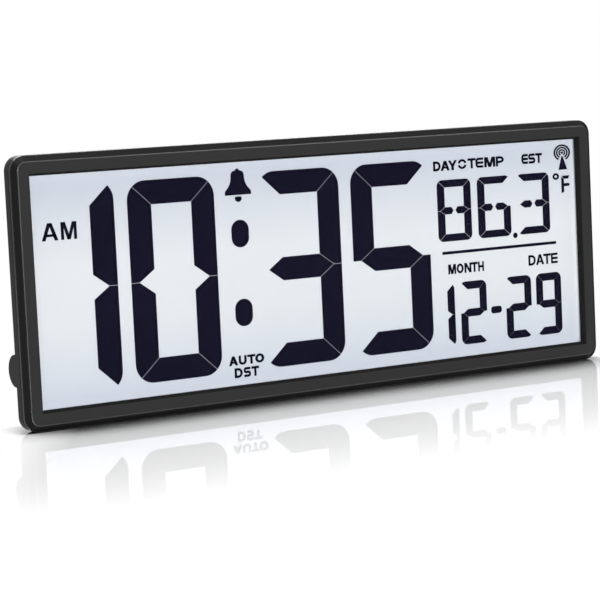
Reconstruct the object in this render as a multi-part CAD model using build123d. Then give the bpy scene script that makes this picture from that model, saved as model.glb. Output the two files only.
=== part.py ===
from build123d import *
import os

# A large digital wall clock: a slim moulded frame round one wide liquid crystal display, with a rear
# housing for the batteries, the board and the radio aerial, and two fold-out legs behind.
# Millimetres. X runs to the right as seen from the front, Y to the back and Z up from the base.

# Case
case_width = 368.0
case_height = 140.0
corner_radius = 8.0
cover_wall = 2.2
cover_edge_radius = 0.5
cover_lip_chamfer = 0.4
parting_gap = 0.3
overrun = 2.0

# Front frame
chamfer_inset = 3.4
chamfer_depth = 2.7
face_width = 6.1
bevel_inset = 1.2
bevel_depth = 3.6
frame_edge_radius = 0.5
skirt_clearance = 0.3
skirt_wall = 1.5

# Display stack, from the front
gasket_thickness = 0.3
gasket_inset = 0.4
gasket_width = 1.4
polariser_thickness = 0.2
polariser_margin = 0.8
glass_thickness = 0.7
glass_overlap = 2.2
crystal_gap = 0.1
ledge_height = 1.7
reflector_thickness = 0.3
carrier_clearance = 0.2
carrier_rim = 0.8
carrier_wall = 1.5

# Figures on the display: places from the window's centre, all as shares of the window's width and height
time_reading = "10:35"
time_left_shares = (-0.5118, -0.3415, -0.1171, 0.0534)
time_size_shares = (0.1483, 0.8895)
time_bar_shares = (0.0404, 0.1077)
time_middle_share = 0.0030
time_seam_share = 0.0005
lead_rise_share = 0.016
temperature_reading = "86.3 F"
temperature_left_shares = (0.2190, 0.2990, 0.3798)
temperature_size_shares = (0.0671, 0.2923)
temperature_bar_shares = (0.0150, 0.0357)
temperature_middle_share = 0.2010
temperature_seam_share = 0.0005
split_shares = (0.83, 0.26)
date_reading = "12-29"
date_left_shares = (0.1932, 0.2574, 0.3494, 0.4124)
date_size_shares = (0.0527, 0.3019)
date_bar_shares = (0.0145, 0.0381)
date_middle_share = -0.2947
date_seam_share = 0.0002
bar_tip_share = 0.36
bar_corner_share = 0.82
colon_left_share = -0.1505
colon_height_shares = (0.1793, -0.1760)
colon_size_shares = (0.0309, 0.1234)
colon_round_share = 0.98
point_place_shares = (0.3736, 0.0540)
point_radius_share = 0.0046
dash_place_shares = (0.3291, -0.2949)
dash_size_shares = (0.0216, 0.0343)
dash_round_share = 0.8
rule_place_shares = (0.3415, 0.0007)
rule_size_shares = (0.2328, 0.0141)

# Rear housing
housing_width = 250.0
housing_height = 118.0
housing_corner_radius = 10.0
housing_edge_radius = 2.5

# Battery cells and their bay
cell_count = 4
cell_radius = 7.1
cell_length = 49.0
cell_gap = 0.8
cell_clearance = 0.3
nub_radius = 2.7
nub_length = 1.2
bay_wall = 1.8
bay_floor_wall = 1.2
bay_front_gap = 0.4
contact_thickness = 0.4
contact_width = 11.0
contact_depth = 11.0
leaf_height = 4.0
leaf_width = 6.0
leaf_slack = 0.1
tab_width = 4.0
tab_reach = 5.0
tab_clearance = 0.2

# Battery door, which slides up in its track
door_thickness = 2.0
door_gap = 0.2
door_lap = 5.0
door_clearance = 0.25
door_seat_margin = 4.0
door_seat_thickness = 2.0
tongue_reach = 0.9
tongue_thickness = 0.6
tongue_clearance = 0.15
tongue_end_gap = 0.35
grip_count = 4
grip_length = 24.0
grip_width = 1.2
grip_pitch = 3.0
grip_depth = 0.5
grip_margin = 10.0

# Wall hangers: keyhole slots with a closed pocket behind each
hanger_entry_radius = 4.5
hanger_slot_radius = 2.3
hanger_rise = 8.0
pocket_margin = 2.5
pocket_depth = 8.0
pocket_wall = 1.4

# Main board
board_thickness = 1.6
board_front_gap = 4.6
board_side_gap = 3.0
board_bay_gap = 8.0
board_foot_gap = 11.8
post_radius = 3.0
post_inset = 5.0

# Keys and switches
key_names = ("set", "mode", "up", "down", "alarm", "zone")
key_length = 12.0
key_height = 6.0
key_pitch = 11.0
key_clearance = 0.25
key_recess = 1.6
key_below_back = 0.4
key_edge_radius = 0.6
key_travel = 0.8
key_flange_reach = 1.2
key_flange_thickness = 1.2
key_flange_gap = 0.3
key_stem_radius = 2.0
key_stem_least = 1.0
panel_margin = 4.0
panel_corner_radius = 3.0
switch_side = 6.0
switch_height = 3.4
plunger_radius = 1.7
plunger_clearance = 0.2
plunger_proud = 1.4
plunger_sunk = 1.0
plunger_end_gap = 0.4

# Parts on the board
chip_radius = 7.0
chip_height = 1.6
chip_edge_radius = 0.9
quartz_radius = 1.5
quartz_length = 8.0
capacitor_radius = 3.0
capacitor_height = 7.0
header_width = 16.0
header_height = 3.0
header_depth = 2.5
radio_width = 24.0
radio_height = 18.0
radio_thickness = 1.0
radio_chip_side = 6.0
radio_chip_height = 1.0
sensor_radius = 1.2
sensor_lead_radius = 0.3
sensor_lead_length = 2.0
board_place_shares = {
    "chip": (0.05, 0.15), "quartz": (-0.22, -0.1), "capacitor": (0.27, -0.1), "radio": (-0.3, 0.2),
    "sensor": (0.42, -0.25),
}

# Ribbon between the display and the board
ribbon_thickness = 0.2
ribbon_width = 60.0
ribbon_bond = 1.1
ribbon_bend = 0.6
ribbon_board_lap = 5.0
ribbon_slot_gap = 0.3

# Radio aerial
rod_radius = 4.0
rod_end_gap = 7.55
rod_depth = 15.4
rod_height_share = 0.6
coil_wall = 1.6
coil_length = 26.0
rod_clearance = 0.15
holder_wall = 1.6
holder_height = 12.0
saddle_width = 5.0
saddle_inset = 5.0

# Buzzer
buzzer_radius = 13.5
buzzer_thickness = 0.5
ceramic_radius = 9.5
ceramic_thickness = 0.3
buzzer_rim_wall = 2.0
buzzer_rim_height = 2.0
buzzer_height_share = 0.29
sound_hole_radius = 1.0
sound_hole_count = 6
sound_ring_radius = 4.0

# Leads
battery_lead_radius = 0.6
battery_lead_bend = 1.4
battery_lead_rise = 3.0
thin_lead_radius = 0.35
thin_lead_bend = 1.2
thin_lead_pitch = 1.6
lead_side_gap = 12.0
lead_board_lap = 4.0
lead_edge_gap = 1.2

# Vents beside the temperature sensor
vent_count = 5
vent_length = 9.0
vent_height = 1.6
vent_pitch = 3.6

# Screws
screw_radius = 1.0
screw_head_radius = 1.8
screw_head_height = 1.1
screw_clearance = 0.1
screw_sink = 1.2
screw_boss_radius = 2.3
screw_recess_clearance = 0.3
board_screw_length = 6.0
cross_length = 2.2
cross_width = 0.5
cross_depth = 0.6
top_screw_shares = (0.16, 0.44)
bottom_screw_shares = (0.158, 0.626)

# Fold-out legs
leg_pivot_height = 31.4
leg_length = 62.0
leg_width = 20.2
leg_thickness = 4.5
leg_clearance = 0.3
leg_edge_radius = 0.6
leg_pocket_margin = 4.0
leg_pocket_depth = 1.4
lug_radius = 8.4
outer_lug_width = 3.8
inner_lug_width = 3.4
pin_radius = 1.25
pin_clearance = 0.1
pin_seat_clearance = 0.03
pin_sunk = 2.6
foot_pad_length = 2.5
foot_pad_radius = 1.0

# Places worked out from the sizes above
middle = case_height / 2
frame_border = chamfer_inset + face_width + bevel_inset
window_width = case_width - 2 * frame_border
window_height = case_height - 2 * frame_border
glass_width = window_width + 2 * glass_overlap
glass_height = window_height + 2 * glass_overlap
polariser_front = bevel_depth + gasket_thickness
front_glass_front = polariser_front + polariser_thickness
figures_front = front_glass_front + glass_thickness
rear_glass_front = figures_front + crystal_gap
reflector_front = rear_glass_front + glass_thickness
carrier_front = reflector_front + reflector_thickness
carrier_side = carrier_clearance + carrier_rim
plate_front = carrier_front + carrier_wall
rim_depth = plate_front + cover_wall
cover_front = bevel_depth + parting_gap
skirt_inset = cover_wall + skirt_clearance

cell_room = bay_front_gap + bay_floor_wall + 2 * (cell_radius + cell_clearance) + door_gap + door_thickness
switch_room = board_front_gap + board_thickness + switch_height + plunger_proud
key_room = key_stem_least + key_flange_thickness + key_flange_gap + cover_wall + key_recess
case_depth = plate_front + max(cell_room, switch_room + key_room)
wall_front = case_depth - cover_wall
housing_side = housing_width / 2 - cover_wall
screw_inset = skirt_inset + screw_boss_radius

door_front = case_depth - door_thickness
cell_depth = door_front - door_gap - cell_clearance - cell_radius
cell_pitch = 2 * cell_radius + cell_gap
bay_width = 2 * contact_thickness + cell_length + nub_length + leaf_height
bay_height = cell_count * cell_pitch + 2 * cell_clearance
bay_floor = cell_depth - cell_radius - cell_clearance
bay_middle = housing_height / 2
bay_side = bay_width / 2 + bay_wall
cell_heights = [bay_middle + (i - (cell_count - 1) / 2) * cell_pitch for i in range(cell_count)]
contact_face = bay_width / 2 - contact_thickness
tab_depth = cell_depth - contact_depth / 2
door_width = bay_width + 2 * door_lap
door_bottom = bay_middle - bay_height / 2 - door_lap
door_track = (door_front + case_depth) / 2
door_seat_side = door_width / 2 + door_seat_margin

zone_middle = (bay_side + housing_side) / 2
pocket_width = 2 * (hanger_entry_radius + pocket_margin)
pocket_top = housing_height - cover_wall - pocket_wall
hanger_height = pocket_top - pocket_margin - hanger_slot_radius - hanger_rise
pocket_bottom = hanger_height - hanger_entry_radius - pocket_margin

board_depth = plate_front + board_front_gap
board_left = bay_side + board_bay_gap
board_right = housing_side - board_side_gap
board_bottom = cover_wall + board_foot_gap
board_top = pocket_bottom - pocket_wall - board_side_gap
board_width = board_right - board_left
board_height = board_top - board_bottom
board_middle = (board_left + board_right) / 2
board_center = (board_bottom + board_top) / 2
board_back = board_depth + board_thickness
post_places = [
    (x, z)
    for x in (board_left + post_inset, board_right - post_inset)
    for z in (board_bottom + post_inset, board_top - post_inset)
]

panel_face = case_depth - key_recess
panel_front = panel_face - cover_wall
panel_width = key_length + 2 * panel_margin
panel_height = (len(key_names) - 1) * key_pitch + key_height + 2 * panel_margin
key_heights = [board_center + ((len(key_names) - 1) / 2 - i) * key_pitch for i in range(len(key_names))]
switch_back = board_back + switch_height
plunger_back = switch_back + plunger_proud

rod_height = rod_height_share * housing_height
rod_length = 2 * (zone_middle - door_seat_side - rod_end_gap)
rod_left = -zone_middle - rod_length / 2
rod_right = -zone_middle + rod_length / 2
buzzer_height = buzzer_height_share * housing_height
rim_front = wall_front - buzzer_rim_height
holder_front = wall_front - holder_wall

lug_depth = rim_depth
pivot_depth = rim_depth + leg_clearance + leg_thickness / 2
leg_outer = case_width / 2 - outer_lug_width - leg_clearance
leg_inner = leg_outer - leg_width
inner_lug_outer = leg_inner - leg_clearance
inner_lug_inner = inner_lug_outer - inner_lug_width
pin_outer = case_width / 2 - outer_lug_width + pin_sunk

side_step = (case_width - housing_width) / 2
screw_places = []
for side in (-1, 1):
    for share in top_screw_shares:
        screw_places.append((side * share * case_width, case_height - screw_inset))
    for share in bottom_screw_shares:
        screw_places.append((side * (housing_width / 2 + share * side_step), screw_inset))


# Drawing planes and simple bodies
def at(x, depth, height):
    """A point, with its depth measured back from the front face."""
    return (x, depth - case_depth / 2, height)


def slab(shape, front, back):
    """A shape drawn in the front view, from one depth to another."""
    plane = Plane(origin=at(0, back, 0), x_dir=(1, 0, 0), z_dir=(0, -1, 0))
    return extrude(plane * shape, back - front, dir=plane.z_dir)


def bar(profile, left, right):
    """A shape drawn in the side view (depth, height), from one X to another."""
    plane = Plane(origin=at(left, 0, 0), x_dir=(0, 1, 0), z_dir=(1, 0, 0))
    return extrude(plane * profile, right - left, dir=plane.z_dir)


def prism(profile, bottom, top):
    """A shape drawn in the plan view (X, depth), from one height to another."""
    plane = Plane(origin=at(0, 0, bottom), x_dir=(1, 0, 0), z_dir=(0, 0, 1))
    return extrude(plane * profile, top - bottom, dir=plane.z_dir)


def box(left, right, front, back, bottom, top):
    """A plain block between two corners."""
    shape = Pos((left + right) / 2, (bottom + top) / 2) * Rectangle(right - left, top - bottom)
    return slab(shape, front, back)


def disc(x, height, radius, front, back):
    """A short cylinder along the depth."""
    return slab(Pos(x, height) * Circle(radius), front, back)


def outline(inset):
    """The case's rounded outline, drawn a distance inside its outer edge."""
    shape = RectangleRounded(case_width - 2 * inset, case_height - 2 * inset, corner_radius - inset)
    return Pos(0, middle) * shape


def panel(width, height):
    """A plain rectangle about the display's centre."""
    return Pos(0, middle) * Rectangle(width, height)


def edges_at(body, depth):
    """The edges of a body that lie wholly at one depth."""
    place = depth - case_depth / 2
    return body.edges().filter_by_position(Axis.Y, place, place)


def lead(points, radius, bend):
    """A round wire along straight runs with tangent bends."""
    path = FilletPolyline(*points, radius=bend)
    start = Plane(origin=path @ 0, z_dir=path % 0)
    return sweep(start * Circle(radius), path)


# Front frame
def front_frame():
    body = slab(outline(0), 0, bevel_depth)
    front_face = body.faces().sort_by(Axis.Y)[0]
    body = chamfer(front_face.edges(), chamfer_inset, chamfer_depth, reference=front_face)
    body = fillet(edges_at(body, 0) + edges_at(body, chamfer_depth), frame_edge_radius)
    front_window = Plane(origin=at(0, 0, middle), x_dir=(1, 0, 0), z_dir=(0, -1, 0)) * Rectangle(
        window_width + 2 * bevel_inset, window_height + 2 * bevel_inset
    )
    back_window = Plane(origin=at(0, bevel_depth, middle), x_dir=(1, 0, 0), z_dir=(0, -1, 0)) * Rectangle(
        window_width, window_height
    )
    body -= loft([front_window, back_window], ruled=True)
    skirt = outline(skirt_inset) - outline(skirt_inset + skirt_wall)
    body += slab(skirt, bevel_depth, plate_front)
    for x, z in screw_places:
        body += disc(x, z, screw_boss_radius, bevel_depth, plate_front)
    for x, z in screw_places:
        body -= disc(x, z, screw_radius + screw_clearance, bevel_depth, plate_front + overrun)
    return body


# Display stack
def display_gasket():
    inner_width = window_width + 2 * gasket_inset
    inner_height = window_height + 2 * gasket_inset
    outer = panel(inner_width + 2 * gasket_width, inner_height + 2 * gasket_width)
    return slab(outer - panel(inner_width, inner_height), bevel_depth, polariser_front)


def front_polariser():
    film = panel(glass_width - 2 * polariser_margin, glass_height - 2 * polariser_margin)
    return slab(film, polariser_front, front_glass_front)


def front_glass():
    return slab(panel(glass_width, glass_height), front_glass_front, figures_front)


def rear_pane(front, back):
    """A pane behind the figures, cut short below to bare the front glass's contact ledge."""
    pane = Pos(0, middle + ledge_height / 2) * Rectangle(glass_width, glass_height - ledge_height)
    return slab(pane, front, back)


def display_carrier():
    width = glass_width + 2 * carrier_side
    height = glass_height + 2 * carrier_side
    body = slab(panel(width, height), front_glass_front, plate_front)
    seat = panel(glass_width + 2 * carrier_clearance, glass_height + 2 * carrier_clearance)
    body -= slab(seat, front_glass_front - overrun, carrier_front)
    slot_bottom = middle - glass_height / 2
    return body - box(
        zone_middle - ribbon_width / 2 - ribbon_slot_gap,
        zone_middle + ribbon_width / 2 + ribbon_slot_gap,
        carrier_front - overrun,
        plate_front + overrun,
        slot_bottom,
        slot_bottom + ledge_height - ribbon_slot_gap,
    )


# Figures
lit_bars = {
    "0": "abcdef", "1": "bc", "2": "abdeg", "3": "abcdg", "4": "bcfg",
    "5": "acdfg", "6": "acdefg", "7": "abc", "8": "abcdefg", "9": "abcdfg",
}


def digit(character, left_share, middle_share, size_shares, bar_shares, seam_share, split_shares=None):
    """The lit bars of one seven-bar figure, as flat shapes with mitred seams between them."""
    width = size_shares[0] * window_width
    height = size_shares[1] * window_height
    thick_x = bar_shares[0] * window_width
    thick_z = bar_shares[1] * window_height
    seam = seam_share * window_width
    left = left_share * window_width
    right = left + width
    center = middle + middle_share * window_height
    top = center + height / 2
    bottom = center - height / 2
    inner_left = left + thick_x
    inner_right = right - thick_x
    inner_top = top - thick_z
    inner_bottom = bottom + thick_z
    bar_top = center + thick_z / 2
    bar_bottom = center - thick_z / 2
    tip_left = left + bar_tip_share * thick_x
    tip_right = right - bar_tip_share * thick_x
    far_left = left - thick_x
    far_right = right + thick_x
    far_top = top + thick_z
    far_bottom = bottom - thick_z
    corners = {
        "a": [(inner_left, inner_top), (inner_right, inner_top), (far_right, far_top), (far_left, far_top)],
        "b": [(inner_right, inner_top), (inner_right, bar_top), (tip_right, center), (far_right, center),
              (far_right, far_top)],
        "c": [(inner_right, inner_bottom), (far_right, far_bottom), (far_right, center), (tip_right, center),
              (inner_right, bar_bottom)],
        "d": [(inner_left, inner_bottom), (far_left, far_bottom), (far_right, far_bottom),
              (inner_right, inner_bottom)],
        "e": [(inner_left, inner_bottom), (inner_left, bar_bottom), (tip_left, center), (far_left, center),
              (far_left, far_bottom)],
        "f": [(inner_left, inner_top), (far_left, far_top), (far_left, center), (tip_left, center),
              (inner_left, bar_top)],
        "g": [(tip_left, center), (inner_left, bar_bottom), (inner_right, bar_bottom), (tip_right, center),
              (inner_right, bar_top), (inner_left, bar_top)],
    }
    edge = Pos((left + right) / 2, center) * RectangleRounded(width, height, bar_corner_share * thick_z)
    shapes = []
    for name in lit_bars[character]:
        shape = offset(Polygon(*corners[name], align=None), -seam / 2, kind=Kind.INTERSECTION) & edge
        if name == "g" and split_shares:
            shape -= waist((left + right) / 2, center, thick_x, thick_z, split_shares)
        shapes.extend(shape.faces())
    return shapes


def waist(x, height, thick_x, thick_z, split_shares):
    """The gap of a split middle bar: narrow at its centre line, so both halves end in points."""
    wide = split_shares[0] * thick_x / 2
    narrow = split_shares[1] * thick_x / 2
    top = height + thick_z / 2
    bottom = height - thick_z / 2
    points = [
        (x - wide, top), (x - narrow, height), (x - wide, bottom),
        (x + wide, bottom), (x + narrow, height), (x + wide, top),
    ]
    return Polygon(*points, align=None)


def numerals(reading):
    """The numerals of a reading, without the marks between them."""
    return [character for character in reading if character.isdigit()]


def window_place(shares):
    """A place on the display, from shares of the window about its centre."""
    return Pos(shares[0] * window_width, middle + shares[1] * window_height)


def figures(shapes):
    """Thin dark areas between the two panes."""
    return [slab(Sketch() + shape, figures_front, rear_glass_front) for shape in shapes]


def time_figures():
    lead_size = (time_size_shares[0], time_size_shares[1] + 2 * lead_rise_share)
    shapes = []
    for character, left in zip(numerals(time_reading), time_left_shares):
        size = time_size_shares if shapes else lead_size
        shapes += digit(character, left, time_middle_share, size, time_bar_shares, time_seam_share)
    width = colon_size_shares[0] * window_width
    height = colon_size_shares[1] * window_height
    for share in colon_height_shares:
        dot = RectangleRounded(width, height, colon_round_share * width / 2)
        shapes.append(window_place((colon_left_share, share)) * dot)
    return figures(shapes)


def temperature_figures():
    shapes = []
    for character, left in zip(numerals(temperature_reading), temperature_left_shares):
        shapes += digit(
            character, left, temperature_middle_share,
            temperature_size_shares, temperature_bar_shares, temperature_seam_share, split_shares,
        )
    shapes.append(window_place(point_place_shares) * Circle(point_radius_share * window_width))
    return figures(shapes)


def date_figures():
    shapes = []
    for character, left in zip(numerals(date_reading), date_left_shares):
        shapes += digit(
            character, left, date_middle_share, date_size_shares, date_bar_shares, date_seam_share
        )
    dash_width = dash_size_shares[0] * window_width
    dash_height = dash_size_shares[1] * window_height
    dash = RectangleRounded(dash_width, dash_height, dash_round_share * dash_height / 2)
    shapes.append(window_place(dash_place_shares) * dash)
    rule = Rectangle(rule_size_shares[0] * window_width, rule_size_shares[1] * window_height)
    shapes.append(window_place(rule_place_shares) * rule)
    return figures(shapes)


# Rear cover
def housing_block():
    """The housing's outer block, with a rounded back edge."""
    shape = RectangleRounded(housing_width, housing_height, housing_corner_radius)
    body = slab(Pos(0, housing_height / 2) * shape, plate_front, case_depth)
    return fillet(edges_at(body, case_depth), housing_edge_radius)


def bay_block(grow, front, back):
    """A block over the battery bay, grown sideways by a distance."""
    shape = Pos(0, bay_middle) * Rectangle(bay_width + 2 * grow, bay_height + 2 * grow)
    return slab(shape, front, back)


def keyhole(x):
    """A round entry with a narrower slot above it."""
    entry = Pos(x, hanger_height) * Circle(hanger_entry_radius)
    neck = Pos(x, hanger_height + hanger_rise / 2) * Rectangle(2 * hanger_slot_radius, hanger_rise)
    return entry + neck + Pos(x, hanger_height + hanger_rise) * Circle(hanger_slot_radius)


def pocket_block(x, grow, front):
    """The block behind a keyhole, grown by its wall."""
    return box(
        x - pocket_width / 2 - grow, x + pocket_width / 2 + grow, front, wall_front,
        pocket_bottom - grow, pocket_top + grow,
    )


def lug(inner, outer):
    """A round hinge lug behind the cover, between two X places."""
    root_middle = (plate_front + lug_depth) / 2
    root = Pos(root_middle, leg_pivot_height) * Rectangle(lug_depth - plate_front, 2 * lug_radius)
    crown = Pos(lug_depth, leg_pivot_height) * Circle(lug_radius)
    front_part = Pos(lug_depth - lug_radius, leg_pivot_height) * Rectangle(2 * lug_radius, 2 * lug_radius)
    return bar(root + (crown - front_part), min(inner, outer), max(inner, outer))


def door_opening():
    """The door's recess and the two grooves of its track."""
    half = door_width / 2 + door_clearance
    bottom = door_bottom - door_clearance
    top = housing_height + overrun
    reach = half + tongue_reach + tongue_end_gap
    groove = tongue_thickness / 2 + tongue_clearance
    recess = box(-half, half, wall_front, case_depth + overrun, bottom, top)
    return recess + box(-reach, reach, door_track - groove, door_track + groove, bottom, top)


def rear_cover():
    shell = slab(outline(0), cover_front, rim_depth)
    shell = fillet(edges_at(shell, rim_depth), cover_edge_radius)
    shell = chamfer(edges_at(shell, cover_front), cover_lip_chamfer)
    body = shell + housing_block()
    body -= slab(outline(cover_wall), cover_front - overrun, plate_front)
    cavity = Pos(0, housing_height / 2) * RectangleRounded(
        2 * housing_side, housing_height - 2 * cover_wall, housing_corner_radius - cover_wall
    )
    body -= slab(cavity, plate_front - overrun, wall_front)

    seat_front = wall_front - door_seat_thickness
    seat_bottom = door_bottom - door_seat_margin
    seat_top = housing_height - cover_wall
    added = [
        bay_block(bay_wall, bay_floor - bay_floor_wall, wall_front),
        box(-door_seat_side, door_seat_side, seat_front, wall_front, seat_bottom, seat_top),
    ]
    panel_half = panel_width / 2 + cover_wall
    panel_reach = panel_height / 2 + cover_wall
    added.append(box(
        board_middle - panel_half, board_middle + panel_half, panel_front, wall_front,
        board_center - panel_reach, board_center + panel_reach,
    ))
    for x in (-zone_middle, zone_middle):
        added.append(pocket_block(x, pocket_wall, wall_front - pocket_depth - pocket_wall))
    added += [disc(x, z, post_radius, board_back, wall_front) for x, z in post_places]
    rim = buzzer_radius + buzzer_rim_wall / 2
    added.append(disc(-zone_middle, buzzer_height, rim, rim_front, wall_front))
    half = case_width / 2
    for side in (-1, 1):
        added.append(lug(side * (half - outer_lug_width), side * half))
        added.append(lug(side * inner_lug_inner, side * inner_lug_outer))
    body += added

    cuts = [bay_block(0, bay_floor, case_depth + overrun), door_opening()]
    recess = RectangleRounded(panel_width, panel_height, panel_corner_radius)
    cuts.append(slab(Pos(board_middle, board_center) * recess, panel_face, case_depth + overrun))
    key_hole = SlotOverall(key_length + 2 * key_clearance, key_height + 2 * key_clearance)
    cuts += [slab(Pos(board_middle, z) * key_hole, panel_front - overrun, case_depth) for z in key_heights]
    for x in (-zone_middle, zone_middle):
        cuts.append(pocket_block(x, 0, wall_front - pocket_depth))
        cuts.append(slab(keyhole(x), wall_front - overrun, case_depth + overrun))
    screw_hole = screw_radius + screw_clearance
    cuts += [disc(x, z, screw_hole, board_back - overrun, wall_front) for x, z in post_places]
    well = buzzer_radius - buzzer_rim_wall / 2
    cuts.append(disc(-zone_middle, buzzer_height, well, rim_front - overrun, wall_front))
    for spot in [Pos()] + list(PolarLocations(sound_ring_radius, sound_hole_count)):
        hole = Pos(-zone_middle, buzzer_height) * spot * Circle(sound_hole_radius)
        cuts.append(slab(hole, wall_front - overrun, case_depth + overrun))
    sensor_height = board_center + board_place_shares["sensor"][1] * board_height
    vent_middle = (board_back + wall_front) / 2
    for i in range(vent_count):
        z = sensor_height + (i - (vent_count - 1) / 2) * vent_pitch
        vent = Pos(vent_middle, z) * SlotOverall(vent_length, vent_height)
        cuts.append(bar(vent, housing_side - overrun, housing_width / 2 + overrun))
    head_hole = screw_head_radius + screw_recess_clearance
    for x, z in screw_places:
        cuts.append(disc(x, z, screw_hole, plate_front - overrun, rim_depth))
        cuts.append(disc(x, z, head_hole, rim_depth - screw_sink, rim_depth + overrun))
    pin_hole = Pos(pivot_depth, leg_pivot_height) * Circle(pin_radius + pin_seat_clearance)
    cuts.append(bar(pin_hole, -pin_outer, -inner_lug_inner + overrun))
    cuts.append(bar(pin_hole, inner_lug_inner - overrun, pin_outer))
    slot = tab_clearance + contact_thickness / 2
    for z in (cell_heights[0], cell_heights[-1]):
        cuts.append(box(
            contact_face, bay_side + overrun, tab_depth - slot, tab_depth + slot,
            z - tab_width / 2 - tab_clearance, z + tab_width / 2 + tab_clearance,
        ))
    return body - cuts


# Battery door
def battery_door():
    half = door_width / 2
    body = housing_block() & box(-half, half, door_front, case_depth, door_bottom, housing_height)
    reach = half + tongue_reach
    tongue_front = door_track - tongue_thickness / 2
    tongue_back = door_track + tongue_thickness / 2
    tongue_top = housing_height - housing_edge_radius
    body += box(-reach, reach, tongue_front, tongue_back, door_bottom, tongue_top)
    for i in range(grip_count):
        z = housing_height - grip_margin - i * grip_pitch
        ridge = Pos(0, z) * SlotOverall(grip_length, grip_width)
        body -= slab(ridge, case_depth - grip_depth, case_depth + overrun)
    return body


# Battery cells and contacts
def cell_side(index):
    """Which way a cell's raised end points: neighbours alternate."""
    return 1 if index % 2 else -1


def round_bar(start, end, depth, height, radius):
    """A cylinder along X."""
    return bar(Pos(depth, height) * Circle(radius), min(start, end), max(start, end))


def battery_cells():
    cells = []
    for index, z in enumerate(cell_heights):
        side = cell_side(index)
        nub_end = side * contact_face
        shoulder = nub_end - side * nub_length
        foot = shoulder - side * cell_length
        cells.append(
            round_bar(foot, shoulder, cell_depth, z, cell_radius)
            + round_bar(shoulder, nub_end, cell_depth, z, nub_radius)
        )
    return cells


def contact_plates():
    """End plates: single ones with a soldering tab at the right, and pairs that link two cells."""
    wall = bay_width / 2
    front = cell_depth - contact_depth / 2
    back = cell_depth + contact_depth / 2
    reach = contact_width / 2
    plates = []
    for z in (cell_heights[0], cell_heights[-1]):
        plate = box(contact_face, wall, front, back, z - reach, z + reach)
        half = contact_thickness / 2
        plate += box(contact_face, wall + tab_reach, tab_depth - half, tab_depth + half,
                     z - tab_width / 2, z + tab_width / 2)
        plates.append(plate)
    for first in range(cell_count - 1):
        bottom = cell_heights[first] - reach
        top = cell_heights[first + 1] + reach
        if first % 2:
            plates.append(box(contact_face, wall, front, back, bottom, top))
        else:
            plates.append(box(-wall, -contact_face, front, back, bottom, top))
    return plates


def contact_leaves():
    """Bowed leaves that press on the flat ends of the cells."""
    leaves = []
    for index, z in enumerate(cell_heights):
        side = -cell_side(index)
        foot = side * contact_face
        tip = side * (contact_face - leaf_height + leaf_slack)
        inner_tip = tip + side * contact_thickness
        reach = contact_depth / 2
        points = [
            (foot, cell_depth - reach), (tip, cell_depth), (foot, cell_depth + reach),
            (foot, cell_depth + reach - contact_thickness), (inner_tip, cell_depth),
            (foot, cell_depth - reach + contact_thickness),
        ]
        leaves.append(prism(Polygon(*points, align=None), z - leaf_width / 2, z + leaf_width / 2))
    return leaves


# Board and what it carries
def board_place(name):
    """A part's place on the board."""
    shares = board_place_shares[name]
    return board_middle + shares[0] * board_width, board_center + shares[1] * board_height


def main_board():
    body = box(board_left, board_right, board_depth, board_back, board_bottom, board_top)
    hole = screw_radius + screw_clearance
    return body - [disc(x, z, hole, board_depth - overrun, board_back + overrun) for x, z in post_places]


def chip_cover():
    x, z = board_place("chip")
    body = disc(x, z, chip_radius, board_depth - chip_height, board_depth)
    return fillet(edges_at(body, board_depth - chip_height), chip_edge_radius)


def quartz_can():
    x, z = board_place("quartz")
    can = Plane(origin=at(x, board_depth - quartz_radius, z - quartz_length / 2)) * Circle(quartz_radius)
    return extrude(can, quartz_length)


def capacitor():
    x, z = board_place("capacitor")
    return disc(x, z, capacitor_radius, board_back, board_back + capacitor_height)


def radio_header():
    x, z = board_place("radio")
    half = header_width / 2
    reach = header_height / 2
    return box(x - half, x + half, board_back, board_back + header_depth, z - reach, z + reach)


def radio_board():
    x, z = board_place("radio")
    front = board_back + header_depth
    back = front + radio_thickness
    chip = Pos(x, z) * Rectangle(radio_chip_side, radio_chip_side)
    body = slab(Pos(x, z) * Rectangle(radio_width, radio_height), front, back)
    return body + slab(chip, back, back + radio_chip_height)


def temperature_sensor():
    x, z = board_place("sensor")
    bead_depth = board_back + sensor_lead_length + sensor_radius / 2
    body = Pos(at(x, bead_depth, z)) * Sphere(sensor_radius)
    for side in (-1, 1):
        body += disc(x + side * sensor_radius / 2, z, sensor_lead_radius, board_back, bead_depth)
    return body


def switch_bodies():
    half = switch_side / 2
    bore_end = switch_back - plunger_sunk - key_travel - plunger_end_gap
    bodies = []
    for z in key_heights:
        body = box(board_middle - half, board_middle + half, board_back, switch_back, z - half, z + half)
        bore = plunger_radius + plunger_clearance
        bodies.append(body - disc(board_middle, z, bore, bore_end, switch_back + overrun))
    return bodies


def switch_plunger(height):
    return disc(board_middle, height, plunger_radius, switch_back - plunger_sunk, plunger_back)


def key(height):
    """A key with a cap through the cover, a flange that keeps it in and a stem down to its switch."""
    flange_back = panel_front - key_flange_gap
    flange_front = flange_back - key_flange_thickness
    place = Pos(board_middle, height)
    grown = 2 * key_flange_reach
    cap_back = case_depth - key_below_back
    cap = slab(place * SlotOverall(key_length, key_height), flange_back, cap_back)
    body = fillet(edges_at(cap, cap_back), key_edge_radius)
    body += slab(place * SlotOverall(key_length + grown, key_height + grown), flange_front, flange_back)
    return body + disc(board_middle, height, key_stem_radius, plunger_back, flange_front)


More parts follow.
